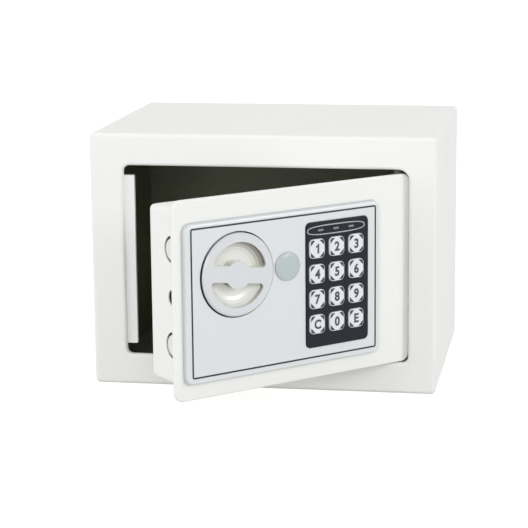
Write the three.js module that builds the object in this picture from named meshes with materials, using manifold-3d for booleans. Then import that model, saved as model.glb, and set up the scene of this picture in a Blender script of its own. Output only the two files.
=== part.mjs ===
// Small electronic safe: a folded steel cabinet with a hinged door that carries
// the keypad, the turning knob, the bolt work, the batteries and the emergency lock.
// Millimetres, +Z up. The origin is the centre of the underside, the front faces -Y,
// and the hinges are on +X. The door's pieces are drawn for the closed door, and their
// group turns the door to the ajar position.
import * as THREE from 'three';
import { mergeVertices } from 'three/addons/utils/BufferGeometryUtils.js';
import Module from 'manifold-3d';

const wasm = await Module();
wasm.setup();

// Cabinet
const CABINET_WIDTH = 230;
const CABINET_HEIGHT = 170;
const CABINET_DEPTH = 170;
const CABINET_SHEET = 1.5;
const CABINET_CORNER_RADIUS = 3;
const CABINET_EDGE_RADIUS = 2.5;
const WELD_SEAM = 0.2;
const ANCHOR_HOLE_DIAMETER = 10;
const ANCHOR_HOLE_SPACING = 120;
const ANCHOR_HOLE_HEIGHT = 60;
const MAT_THICKNESS = 2;
const MAT_MARGIN = 2;

// Door opening in the front frame
const OPENING_LATCH_MARGIN = 22.8;
const OPENING_HINGE_MARGIN = 18;
const OPENING_TOP_MARGIN = 21.2;
const OPENING_BOTTOM_MARGIN = 21;
const OPENING_CORNER_RADIUS = 4;
const OPENING_UPPER_HINGE_RADIUS = 7;
const OPENING_BEND_RADIUS = 2;
const OPENING_LIP_DEPTH = 3;
const STRIKE_WIDTH = 19.7;
const STRIKE_HEIGHT = 114.2;
const STRIKE_THICKNESS = 3;
const STRIKE_CORNER_RADIUS = 0.8;
const STRIKE_CLEARANCE = 0.4;

// Door plate and its place in the opening
const DOOR_AJAR_DEGREES = 44;
const DOOR_THICKNESS = 3;
const DOOR_CORNER_RADIUS = 5.5;
const DOOR_EDGE_RADIUS = 0.9;
const DOOR_GAP_LATCH = 7.1;
const DOOR_GAP_HINGE = 2.5;
const DOOR_GAP_TOP = 2.7;
const DOOR_GAP_BOTTOM = 0.8;
const SEAT_GAP = 0.3;

// Hinge
const HINGE_INSET = 5.5;
const HINGE_SETBACK = 6;
const HINGE_PIN_DIAMETER = 5;
const HINGE_PIN_ROOT = 4;
const HINGE_PIN_CLEARANCE = 0.08;
const BRACKET_SHEET = 2;
const BRACKET_WIDTH = 18;
const BRACKET_REACH = 10.5;
const BRACKET_HEIGHT = 13;
const HINGE_STRIP_SHEET = 1.5;
const HINGE_STRIP_DEPTH = 12.3;
const HINGE_STRIP_WIDTH = 5.2;
const HINGE_STRIP_CLEARANCE = 0.4;

// Pan welded behind the door plate
const PAN_DEPTH = 42.5;
const PAN_SHEET = 1.5;
const PAN_INSET_LATCH = 7.5;
const PAN_INSET_HINGE = 1.5;
const PAN_INSET_ENDS = 7.1;
const PAN_CORNER_RADIUS = 3.5;
const PAN_REAR_RADIUS = 5;
const PAN_WINDOW_MARGIN = 12.5;
const PAN_WINDOW_RADIUS = 6;
const SPARE_HOLE_DIAMETER = 10;

// Bolt work
const BOLT_DIAMETER = 16;
const BOLT_SPACING = 60;
const BOLT_SETBACK = 14.3;
const BOLT_LENGTH = 27;
const BOLT_TENON_LENGTH = 8.5;
const BOLT_CHAMFER = 1;
const BOLT_CLEARANCE = 0.5;
const BOLT_THROW = 16;
const BOLT_PLATE_THICKNESS = 2.5;
const BOLT_PLATE_REACH = 20.8;
const BOLT_PLATE_END_MARGIN = 8;
const BOLT_PLATE_CORNER_RADIUS = 3;
const BOLT_ARM_LENGTH = 40;
const BOLT_ARM_WIDTH = 10;
const BOLT_ARM_ABOVE_SOLENOID = 11.65;
const STUD_DIAMETER = 5;
const STUD_HEAD_DIAMETER = 9;
const STUD_HEAD_THICKNESS = 1.6;
const STUD_UPPER_REACH = 5.5;
const STUD_UPPER_RISE = 32;
const STUD_LOWER_INSET = 13.5;
const STUD_LOWER_DROP = 30.5;
const TONGUE_LENGTH = 28;
const TONGUE_WIDTH = 12;

// Knob and its crank
const KNOB_FROM_HINGE_EDGE = 136.9;
const KNOB_RISE = 13.4;
const KNOB_DIAMETER = 52;
const KNOB_POCKET_CLEARANCE = 0.9;
const KNOB_PROUD = 2.2;
const KNOB_THICKNESS = 8.8;
const KNOB_CHAMFER = 1.1;
const KNOB_RECESS_DIAMETER = 41;
const KNOB_RECESS_DEPTH = 7;
const KNOB_RECESS_FLOOR_DIAMETER = 24;
const KNOB_RECESS_CORNER = 2.2;
const KNOB_BRIDGE_WIDTH = 10;
const KNOB_HUB_DIAMETER = 17.6;
const KNOB_REST_TILT = 8.2;
const SPINDLE_DIAMETER = 8;
const SPINDLE_SOCKET_DEPTH = 3.6;
const CRANK_PIN_DIAMETER = 5;
const CRANK_PIN_CLEARANCE = 0.5;
const CRANK_THICKNESS = 2.5;
const CRANK_HUB_DIAMETER = 14;
const CRANK_EYE_DIAMETER = 9;

// Control panel
const PANEL_WIDTH = 147;
const PANEL_HEIGHT = 100.4;
const PANEL_FROM_HINGE_EDGE = 100.4;
const PANEL_DROP = 1.9;
const PANEL_RISE = 3.7;
const PANEL_SKIN = 1.6;
const PANEL_WALL = 2;
const PANEL_DRAFT = 0.8;
const PANEL_EDGE_RADIUS = 0.9;
const PANEL_CORNER_RADIUS = 5;
const PANEL_CUP_WALL = 1;
const PANEL_CUP_FLOOR = 1.4;
const BORDER_WIDTH = 138.4;
const BORDER_HEIGHT = 92;
const BORDER_LINE = 1.1;
const BORDER_DEPTH = 0.5;
const BORDER_RADIUS = 1;
const BORDER_RISE = 0.6;
const PANEL_SCREW_DIAMETER = 2.8;
const PANEL_SCREW_HEAD_DIAMETER = 5.6;
const PANEL_SCREW_HEAD_THICKNESS = 1.8;
const PANEL_SCREW_INSET = 7.5;
const PANEL_BOSS_DIAMETER = 7;

// Emergency lock
const LOCK_FROM_HINGE_EDGE = 99.7;
const LOCK_RISE = 13.9;
const LOCK_DIAMETER = 15;
const LOCK_DEPTH = 24;
const LOCK_NUT_DIAMETER = 18;
const LOCK_NUT_THICKNESS = 3;
const PLUG_DIAMETER = 9;
const PLUG_CLEARANCE = 0.1;
const KEYWAY_WIDTH = 2;
const KEYWAY_HEIGHT = 6;
const KEYWAY_DEPTH = 12;
const CAM_LENGTH = 14;
const CAM_THICKNESS = 2;
const CAP_DIAMETER = 18.4;
const CAP_DOME = 1.3;
const CAP_RIM = 0.7;
const CAP_PLUG_LENGTH = 1.4;
const CAP_SKIN = 1;
const CAP_RIM_HEIGHT = 0.4;

// Keypad
const KEYPAD_FROM_HINGE_EDGE = 61.6;
const KEYPAD_DROP = 0.8;
const KEYPAD_WIDTH = 48.2;
const KEYPAD_HEIGHT = 80.2;
const KEYPAD_CORNER_RADIUS = 3.2;
const KEYPAD_THICKNESS = 1.8;
const KEYPAD_PROUD = 1;
const KEYPAD_LEDGE = 0.9;
const KEY_WIDTH = 11.6;
const KEY_HEIGHT = 12.3;
const KEY_CORNER_RADIUS = 2.8;
const KEY_PITCH_ACROSS = 15.15;
const KEY_PITCH_DOWN = 16.17;
const KEY_GRID_DROP = 1.6;
const KEY_GRID_SHIFT = 1.25;
const KEY_PROUD = 1;
const KEY_TRAVEL = 0.5;
const KEY_CLEARANCE = 0.25;
const KEY_FLANGE = 0.7;
const KEY_FLANGE_THICKNESS = 0.6;
const KEY_TOP_RADIUS = 0.6;
const BOARD_THICKNESS = 1.6;
const LAMP_RISE = 34.85;
const LAMP_PITCH = 11.8;
const LAMP_WIDTH = 4.4;
const LAMP_HEIGHT = 1.4;
const LAMP_BAR_HEIGHT = 2.6;
const LAMP_BAR_THICKNESS = 0.6;

// Solenoid that blocks the bolt work
const SOLENOID_FROM_HINGE_EDGE = 100;
const SOLENOID_WIDTH = 19;
const SOLENOID_THICKNESS = 15;
const SOLENOID_HEIGHT = 17;
const PLUNGER_DIAMETER = 5;
const PLUNGER_CLEARANCE = 0.1;
const PLUNGER_TRAVEL = 4;
const PLUNGER_ENGAGEMENT = 10;
const PLUNGER_COLLAR_DIAMETER = 9;
const PLUNGER_COLLAR_THICKNESS = 1.2;
const PLUNGER_TIP_LENGTH = 1.6;
const SPRING_WIRE_DIAMETER = 0.7;
const SPRING_COILS = 5;

// Rear cover, batteries and reset button
const COVER_THICKNESS = 1.2;
const COVER_MARGIN = 5.5;
const COVER_CORNER_RADIUS = 4;
const COVER_SCREW_DIAMETER = 3;
const COVER_SCREW_HEAD_DIAMETER = 6;
const COVER_SCREW_HEAD_THICKNESS = 1.8;
const COVER_SCREW_LENGTH = 6;
const COVER_SCREW_INSET = 4;
const HATCH_FROM_HINGE_EDGE = 58;
const LID_THICKNESS = 1.6;
const LID_GRIP_DEPTH = 0.7;
const LID_GRIP_COUNT = 4;
const LID_GRIP_PITCH = 3;
const BATTERY_DIAMETER = 14.2;
const BATTERY_LENGTH = 49.2;
const BATTERY_NUB_DIAMETER = 5.5;
const BATTERY_NUB_LENGTH = 1;
const BATTERY_COUNT = 4;
const TRAY_WALL = 1.6;
const TRAY_FLANGE = 3;
const CONTACT_THICKNESS = 0.5;
const CONTACT_DEPTH = 11;
const RESET_FROM_HINGE_EDGE = 20;
const RESET_DROP = 18;
const RESET_DIAMETER = 7;
const RESET_PROUD = 1.4;
const RESET_FLANGE_DIAMETER = 9.6;
const RESET_FLANGE_THICKNESS = 1.2;
const RESET_STEM_LENGTH = 2;
const RESET_TRAVEL = 1;
const SWITCH_SIZE = 12;
const SWITCH_DEPTH = 8;

// Facets
const CORNER_STEPS = 4;
const EDGE_STEPS = 3;
const KEY_STEPS = 3;
const TINY_FACETS = 12;
const SMALL_FACETS = 16;
const ROUND_FACETS = 24;
const KNOB_FACETS = 56;
const KNOB_RECESS_STEPS = 6;

// Places worked out from the sizes
const FRONT = -CABINET_DEPTH / 2;
const REAR = CABINET_DEPTH / 2;
const OPENING_LEFT = -CABINET_WIDTH / 2 + OPENING_LATCH_MARGIN;
const OPENING_RIGHT = CABINET_WIDTH / 2 - OPENING_HINGE_MARGIN;
const OPENING_BOTTOM = OPENING_BOTTOM_MARGIN;
const OPENING_TOP = CABINET_HEIGHT - OPENING_TOP_MARGIN;
const OPENING_MIDDLE = (OPENING_BOTTOM + OPENING_TOP) / 2;
const DOOR_LEFT = OPENING_LEFT + DOOR_GAP_LATCH;
const DOOR_RIGHT = OPENING_RIGHT - DOOR_GAP_HINGE;
const DOOR_BOTTOM = OPENING_BOTTOM + DOOR_GAP_BOTTOM;
const DOOR_TOP = OPENING_TOP - DOOR_GAP_TOP;
const DOOR_MIDDLE = (DOOR_BOTTOM + DOOR_TOP) / 2;
const HINGE_X = DOOR_RIGHT - HINGE_INSET;
const HINGE_Y = FRONT + HINGE_SETBACK;
const PAN_FRONT = FRONT + DOOR_THICKNESS + SEAT_GAP;
const PAN_REAR = FRONT + PAN_DEPTH;
const PAN_LEFT = DOOR_LEFT + PAN_INSET_LATCH;
const PAN_RIGHT = DOOR_RIGHT - PAN_INSET_HINGE;
const PAN_BOTTOM = DOOR_BOTTOM + PAN_INSET_ENDS;
const PAN_TOP = DOOR_TOP - PAN_INSET_ENDS;
const BOLT_Y = FRONT + BOLT_SETBACK;
const BOLT_PLATE_FRONT = BOLT_Y + SEAT_GAP;
const BOLT_PLATE_REAR = BOLT_PLATE_FRONT + BOLT_PLATE_THICKNESS;
const BOLT_PLATE_LEFT = PAN_LEFT + BOLT_LENGTH - BOLT_TENON_LENGTH;
const PANEL_X = DOOR_RIGHT - PANEL_FROM_HINGE_EDGE;
const PANEL_Z = DOOR_MIDDLE - PANEL_DROP;
const PANEL_BACK = FRONT - SEAT_GAP;
const PANEL_FACE = PANEL_BACK - PANEL_RISE;
const KNOB_X = DOOR_RIGHT - KNOB_FROM_HINGE_EDGE;
const KNOB_Z = DOOR_MIDDLE + KNOB_RISE;
const BOLT_PLATE_RIGHT = KNOB_X + BOLT_PLATE_REACH;
const KNOB_FACE = PANEL_FACE - KNOB_PROUD;
const KNOB_BACK = KNOB_FACE + KNOB_THICKNESS;
const CRANK_RADIUS = BOLT_THROW / Math.SQRT2;
const CRANK_REAR = BOLT_PLATE_FRONT - 2 * SEAT_GAP;
const LOCK_X = DOOR_RIGHT - LOCK_FROM_HINGE_EDGE;
const LOCK_Z = DOOR_MIDDLE + LOCK_RISE;
const KEYPAD_X = DOOR_RIGHT - KEYPAD_FROM_HINGE_EDGE;
const KEYPAD_Z = DOOR_MIDDLE - KEYPAD_DROP;
const KEYPAD_FACE = PANEL_FACE - KEYPAD_PROUD;
const KEYPAD_BACK = KEYPAD_FACE + KEYPAD_THICKNESS;
const KEY_GRID_X = KEYPAD_X - KEY_GRID_SHIFT;
const KEY_GRID_Z = DOOR_MIDDLE - KEY_GRID_DROP;
const KEY_BACK = KEYPAD_BACK + SEAT_GAP + KEY_FLANGE_THICKNESS;
const BOARD_FRONT = KEY_BACK + KEY_TRAVEL + SEAT_GAP;
const SOLENOID_X = DOOR_RIGHT - SOLENOID_FROM_HINGE_EDGE;
const SOLENOID_Y = (BOLT_PLATE_FRONT + BOLT_PLATE_REAR) / 2;
const SOLENOID_BOTTOM = PAN_BOTTOM + PAN_SHEET + SEAT_GAP;
const SOLENOID_TOP = SOLENOID_BOTTOM + SOLENOID_HEIGHT;
const ARM_BOTTOM = SOLENOID_TOP + BOLT_ARM_ABOVE_SOLENOID;
const ARM_TOP = ARM_BOTTOM + BOLT_ARM_WIDTH;
const COVER_FRONT = PAN_REAR + SEAT_GAP;
const COVER_REAR = COVER_FRONT + COVER_THICKNESS;
const HATCH_X = DOOR_RIGHT - HATCH_FROM_HINGE_EDGE;
const HATCH_Z = DOOR_MIDDLE;
const BATTERY_PITCH = BATTERY_DIAMETER + SEAT_GAP;
const TRAY_BAY_WIDTH = BATTERY_COUNT * BATTERY_PITCH + SEAT_GAP;
const BATTERY_TOTAL = BATTERY_LENGTH + BATTERY_NUB_LENGTH;
const TRAY_BAY_HEIGHT = BATTERY_TOTAL + 2 * (CONTACT_THICKNESS + 2 * SEAT_GAP);
const TRAY_WIDTH = TRAY_BAY_WIDTH + 2 * TRAY_WALL;
const TRAY_HEIGHT = TRAY_BAY_HEIGHT + 2 * TRAY_WALL;
const TRAY_REAR = COVER_FRONT - SEAT_GAP;
const TRAY_DEPTH = BATTERY_DIAMETER + 2 * SEAT_GAP + TRAY_WALL;
const TRAY_FRONT = TRAY_REAR - TRAY_DEPTH;
const BATTERY_Y = TRAY_REAR - SEAT_GAP - BATTERY_DIAMETER / 2;
const RESET_X = DOOR_RIGHT - RESET_FROM_HINGE_EDGE;
const RESET_Z = PAN_TOP - RESET_DROP;

// Finishes
function finish(color, roughness, metalness) {
  return new THREE.MeshStandardMaterial({ color, roughness, metalness });
}
const whiteEnamel = finish(0xe9eae8, 0.42, 0);
const zincSteel = finish(0xc3c5c6, 0.35, 1);
const brightSteel = finish(0xd2d3d4, 0.22, 1);
const silverPlastic = finish(0xd3d6d8, 0.38, 0.25);
const satinSilver = finish(0xdadbdd, 0.28, 0.45);
const slatePlastic = finish(0x363b43, 0.4, 0);
const keyPlastic = finish(0xe6e8ee, 0.35, 0);
const greyPlastic = finish(0xbfc9ca, 0.35, 0.15);
const blackPlastic = finish(0x1d1e20, 0.5, 0);
const redPlastic = finish(0xb3201c, 0.4, 0);
const greenBoard = finish(0x1f5a3a, 0.5, 0);
const smokedLens = finish(0x6d747c, 0.25, 0);
const brassMetal = finish(0xb08d4c, 0.3, 1);
const batterySleeve = finish(0x30343a, 0.4, 0.2);
const greyFelt = finish(0x3a3b3a, 0.95, 0);

// Solids: a closed mesh in, a closed mesh out
function closed(geometry) {
  const bare = geometry.index ? geometry.toNonIndexed() : geometry.clone();
  for (const name of Object.keys(bare.attributes)) {
    if (name !== 'position') bare.deleteAttribute(name);
  }
  const merged = mergeVertices(bare, 1e-4);
  const index = merged.index.array;
  const point = merged.attributes.position;
  const kept = [];
  const a = new THREE.Vector3();
  const b = new THREE.Vector3();
  const c = new THREE.Vector3();
  let volume = 0;
  for (let i = 0; i < index.length; i += 3) {
    const [p, q, r] = [index[i], index[i + 1], index[i + 2]];
    if (p === q || q === r || r === p) continue;
    kept.push(p, q, r);
    a.fromBufferAttribute(point, p);
    b.fromBufferAttribute(point, q);
    c.fromBufferAttribute(point, r);
    volume += a.dot(b.cross(c));
  }
  if (volume < 0) kept.reverse();
  merged.setIndex(kept);
  return merged;
}

function toSolid(geometry) {
  const mesh = closed(geometry);
  return new wasm.Manifold(new wasm.Mesh({
    numProp: 3,
    vertProperties: new Float32Array(mesh.attributes.position.array),
    triVerts: new Uint32Array(mesh.index.array),
  }));
}

function toGeometry(solid) {
  const mesh = solid.getMesh();
  const geometry = new THREE.BufferGeometry();
  geometry.setAttribute('position', new THREE.BufferAttribute(mesh.vertProperties, 3));
  geometry.setIndex(new THREE.BufferAttribute(mesh.triVerts, 1));
  return geometry;
}

function cut(body, ...tools) {
  return toGeometry(tools.reduce((s, tool) => s.subtract(toSolid(tool)), toSolid(body)));
}

function overlap(body, other) {
  return toGeometry(toSolid(body).intersect(toSolid(other)));
}

function join(body, ...others) {
  return toGeometry(others.reduce((s, other) => s.add(toSolid(other)), toSolid(body)));
}

// Forms. An outline is drawn across (x) and up (z), and reaches from one y to another.
function roundedOutline(x, z, width, height, radius, upperHingeRadius = radius) {
  const [w, h] = [width / 2, height / 2];
  const r = Math.min(radius, w - 0.01, h - 0.01);
  const upper = Math.min(upperHingeRadius, w - 0.01, h - 0.01);
  const outline = new THREE.Shape();
  outline.absarc(x + w - upper, z + h - upper, upper, 0, Math.PI / 2);
  outline.absarc(x - w + r, z + h - r, r, Math.PI / 2, Math.PI);
  outline.absarc(x - w + r, z - h + r, r, Math.PI, 1.5 * Math.PI);
  outline.absarc(x + w - r, z - h + r, r, 1.5 * Math.PI, 2 * Math.PI);
  return outline;
}

function prism(outline, from, to, steps = CORNER_STEPS) {
  const options = { depth: to - from, bevelEnabled: false, curveSegments: steps };
  const geometry = new THREE.ExtrudeGeometry(outline, options);
  return geometry.rotateX(Math.PI / 2).translate(0, to, 0);
}

function block(x0, x1, y0, y1, z0, z1) {
  const geometry = new THREE.BoxGeometry(x1 - x0, y1 - y0, z1 - z0);
  return geometry.translate((x0 + x1) / 2, (y0 + y1) / 2, (z0 + z1) / 2);
}

function drum(x, z, radius, from, to, facets = ROUND_FACETS) {
  const geometry = new THREE.CylinderGeometry(radius, radius, to - from, facets);
  return geometry.translate(x, (from + to) / 2, z);
}

// A turned form round an axis along y, from a profile of [radius, y] pairs
function turned(x, z, profile, facets = ROUND_FACETS) {
  const points = profile.map(([radius, y]) => new THREE.Vector2(radius, y));
  return closed(new THREE.LatheGeometry(points, facets).translate(x, 0, z));
}

// A turned form round a vertical axis, from a profile of [radius, z] pairs
function turnedUpright(x, y, profile, facets = SMALL_FACETS) {
  const points = profile.map(([radius, z]) => new THREE.Vector2(radius, z));
  const form = new THREE.LatheGeometry(points, facets).rotateX(Math.PI / 2);
  return closed(form.translate(x, y, 0));
}

// A form lofted through rounded rectangles, each { y, width, height, radius }
function loft(x, z, sections, steps = CORNER_STEPS) {
  const positions = [];
  const index = [];
  const count = 4 * (steps + 1);
  for (const { y, width, height, radius, upperHingeRadius = radius } of sections) {
    for (let corner = 0; corner < 4; corner += 1) {
      const r = Math.max(corner === 0 ? upperHingeRadius : radius, 0.05);
      const sideX = corner === 0 || corner === 3 ? 1 : -1;
      const sideZ = corner < 2 ? 1 : -1;
      for (let step = 0; step <= steps; step += 1) {
        const angle = (corner + step / steps) * Math.PI / 2;
        const px = x + sideX * (width / 2 - r) + r * Math.cos(angle);
        const pz = z + sideZ * (height / 2 - r) + r * Math.sin(angle);
        positions.push(px, y, pz);
      }
    }
  }
  for (let level = 0; level + 1 < sections.length; level += 1) {
    for (let i = 0; i < count; i += 1) {
      const a = level * count + i;
      const b = level * count + (i + 1) % count;
      index.push(a, b, b + count, a, b + count, a + count);
    }
  }
  const first = positions.length / 3;
  const top = (sections.length - 1) * count;
  positions.push(x, sections[0].y, z, x, sections[sections.length - 1].y, z);
  for (let i = 0; i < count; i += 1) {
    const j = (i + 1) % count;
    index.push(first, j, i, first + 1, top + i, top + j);
  }
  const geometry = new THREE.BufferGeometry();
  geometry.setAttribute('position', new THREE.Float32BufferAttribute(positions, 3));
  geometry.setIndex(index);
  return closed(geometry);
}

// Sections that round the edge of a plate whose face is at y, going back towards +y
function roundedEdge(face, width, height, corner, radius, steps = EDGE_STEPS) {
  const sections = [];
  for (let step = 0; step <= steps; step += 1) {
    const angle = (step / steps) * Math.PI / 2;
    const inset = radius * (1 - Math.sin(angle));
    sections.push({
      y: face + radius * (1 - Math.cos(angle)),
      width: width - 2 * inset,
      height: height - 2 * inset,
      radius: corner - inset,
    });
  }
  return sections;
}

function piece(name, geometry, material) {
  const mesh = new THREE.Mesh(geometry, material);
  mesh.name = name;
  return mesh;
}

// Cabinet: a wrap folded with the front frame, whose opening has a rolled lip
function bodyShell() {
  const middle = CABINET_HEIGHT / 2;
  const full = {
    width: CABINET_WIDTH,
    height: CABINET_HEIGHT,
    radius: CABINET_CORNER_RADIUS,
  };
  const front = roundedEdge(
    FRONT, full.width, full.height, full.radius, CABINET_EDGE_RADIUS, CORNER_STEPS,
  );
  const outer = loft(0, middle, [...front, { y: REAR, ...full }]);
  const inner = roundedOutline(
    0, middle,
    CABINET_WIDTH - 2 * CABINET_SHEET, CABINET_HEIGHT - 2 * CABINET_SHEET,
    CABINET_CORNER_RADIUS - CABINET_SHEET,
  );
  const cavity = prism(inner, FRONT + CABINET_SHEET, REAR + 1);
  const openingX = (OPENING_LEFT + OPENING_RIGHT) / 2;
  const openingWidth = OPENING_RIGHT - OPENING_LEFT;
  const openingHeight = OPENING_TOP - OPENING_BOTTOM;
  const lipOutline = roundedOutline(
    openingX, OPENING_MIDDLE,
    openingWidth + 2 * CABINET_SHEET, openingHeight + 2 * CABINET_SHEET,
    OPENING_CORNER_RADIUS + CABINET_SHEET, OPENING_UPPER_HINGE_RADIUS + CABINET_SHEET,
  );
  const lip = prism(lipOutline, FRONT + CABINET_SHEET / 2, FRONT + OPENING_LIP_DEPTH);
  const flare = [];
  for (let step = 0; step <= EDGE_STEPS; step += 1) {
    const angle = (step / EDGE_STEPS) * Math.PI / 2;
    const spread = OPENING_BEND_RADIUS * (1 - Math.sin(angle));
    flare.push({
      y: FRONT + OPENING_BEND_RADIUS * (1 - Math.cos(angle)),
      width: openingWidth + 2 * spread,
      height: openingHeight + 2 * spread,
      radius: OPENING_CORNER_RADIUS + spread,
      upperHingeRadius: OPENING_UPPER_HINGE_RADIUS + spread,
    });
  }
  const opening = loft(openingX, OPENING_MIDDLE, [
    { ...flare[0], y: FRONT - 1 },
    ...flare,
    { ...flare[EDGE_STEPS], y: FRONT + OPENING_LIP_DEPTH + 1 },
  ]);
  return cut(join(cut(outer, cavity), lip), opening);
}

function backPanel() {
  const outline = roundedOutline(
    0, CABINET_HEIGHT / 2,
    CABINET_WIDTH - 2 * (CABINET_SHEET + WELD_SEAM),
    CABINET_HEIGHT - 2 * (CABINET_SHEET + WELD_SEAM),
    CABINET_CORNER_RADIUS - CABINET_SHEET,
  );
  const sheet = prism(outline, REAR - CABINET_SHEET, REAR);
  const holes = [-1, 1].map((side) => drum(
    side * ANCHOR_HOLE_SPACING / 2, ANCHOR_HOLE_HEIGHT, ANCHOR_HOLE_DIAMETER / 2,
    REAR - CABINET_SHEET - 1, REAR + 1, SMALL_FACETS,
  ));
  return cut(sheet, ...holes);
}

// The strip that the bolts go behind, welded behind the latch edge of the opening
function strikeStrip() {
  const right = DOOR_LEFT - STRIKE_CLEARANCE;
  const outline = roundedOutline(
    right - STRIKE_WIDTH / 2, OPENING_MIDDLE, STRIKE_WIDTH, STRIKE_HEIGHT,
    STRIKE_CORNER_RADIUS,
  );
  const front = FRONT + OPENING_LIP_DEPTH;
  return prism(outline, front, front + STRIKE_THICKNESS);
}

// The angle behind the hinge edge of the opening, which closes the gap round the hinge
function hingeStrip() {
  const left = OPENING_RIGHT + HINGE_STRIP_CLEARANCE;
  const right = left + HINGE_STRIP_SHEET;
  const front = FRONT + OPENING_LIP_DEPTH;
  const rear = front + HINGE_STRIP_DEPTH;
  const web = block(left, right, front, rear, OPENING_BOTTOM, OPENING_TOP);
  const flange = block(
    right - HINGE_STRIP_WIDTH, right, rear - HINGE_STRIP_SHEET, rear,
    OPENING_BOTTOM, OPENING_TOP,
  );
  return join(web, flange);
}

// An angle bracket behind the front frame, above or below the opening
function hingeBracket(side) {
  const middle = CABINET_HEIGHT / 2;
  const opening = side > 0 ? OPENING_TOP - middle : middle - OPENING_BOTTOM;
  const edge = opening + CABINET_SHEET + WELD_SEAM;
  const back = FRONT + CABINET_SHEET;
  const outline = new THREE.Shape();
  outline.moveTo(back, edge);
  outline.lineTo(back + BRACKET_REACH, edge);
  outline.lineTo(back + BRACKET_REACH, edge + BRACKET_SHEET);
  const bend = BRACKET_SHEET / 2;
  outline.lineTo(back + BRACKET_SHEET + bend, edge + BRACKET_SHEET);
  outline.absarc(
    back + BRACKET_SHEET + bend, edge + BRACKET_SHEET + bend,
    bend, -Math.PI / 2, -Math.PI, true,
  );
  outline.lineTo(back + BRACKET_SHEET, edge + BRACKET_HEIGHT);
  outline.lineTo(back, edge + BRACKET_HEIGHT);
  outline.closePath();
  const options = { depth: BRACKET_WIDTH, bevelEnabled: false, curveSegments: EDGE_STEPS };
  const angle = new THREE.ExtrudeGeometry(outline, options);
  const toCabinet = new THREE.Matrix4().makeBasis(
    new THREE.Vector3(0, 1, 0), new THREE.Vector3(0, 0, side), new THREE.Vector3(1, 0, 0),
  );
  angle.applyMatrix4(toCabinet);
  angle.translate(HINGE_X - BRACKET_WIDTH / 2, 0, middle);
  const hole = HINGE_PIN_DIAMETER / 2 + HINGE_PIN_CLEARANCE;
  const reach = edge + BRACKET_SHEET + 1;
  const bore = turnedUpright(HINGE_X, HINGE_Y, [
    [0, middle - reach], [hole, middle - reach], [hole, middle + reach], [0, middle + reach],
  ], ROUND_FACETS);
  return cut(angle, bore);
}

function floorMat() {
  const inner = CABINET_SHEET + MAT_MARGIN;
  return block(
    -CABINET_WIDTH / 2 + inner, CABINET_WIDTH / 2 - inner,
    FRONT + CABINET_SHEET + OPENING_LIP_DEPTH, REAR - inner,
    CABINET_SHEET, CABINET_SHEET + MAT_THICKNESS,
  );
}

// Door plate, cut for the knob's cup, the keypad board, the lock and the panel's screws
function doorPlate() {
  const width = DOOR_RIGHT - DOOR_LEFT;
  const height = DOOR_TOP - DOOR_BOTTOM;
  const x = (DOOR_LEFT + DOOR_RIGHT) / 2;
  const face = roundedEdge(FRONT, width, height, DOOR_CORNER_RADIUS, DOOR_EDGE_RADIUS);
  const full = { width, height, radius: DOOR_CORNER_RADIUS };
  const plate = loft(x, DOOR_MIDDLE, [...face, { y: FRONT + DOOR_THICKNESS, ...full }]);
  const from = FRONT - 1;
  const to = FRONT + DOOR_THICKNESS + 1;
  const cup = drum(KNOB_X, KNOB_Z, cupRadius() + SEAT_GAP, from, to, KNOB_FACETS);
  const lock = drum(LOCK_X, LOCK_Z, LOCK_DIAMETER / 2 + SEAT_GAP, from, to);
  const board = prism(roundedOutline(
    KEYPAD_X, KEYPAD_Z, boardWidth() + 2 * SEAT_GAP, boardHeight() + 2 * SEAT_GAP, 2,
  ), from, to);
  const screws = panelScrewPlaces().map(([sx, sz]) => drum(
    sx, sz, PANEL_SCREW_DIAMETER / 2 + SEAT_GAP, from, to, TINY_FACETS,
  ));
  return cut(plate, cup, lock, board, ...screws);
}

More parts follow.
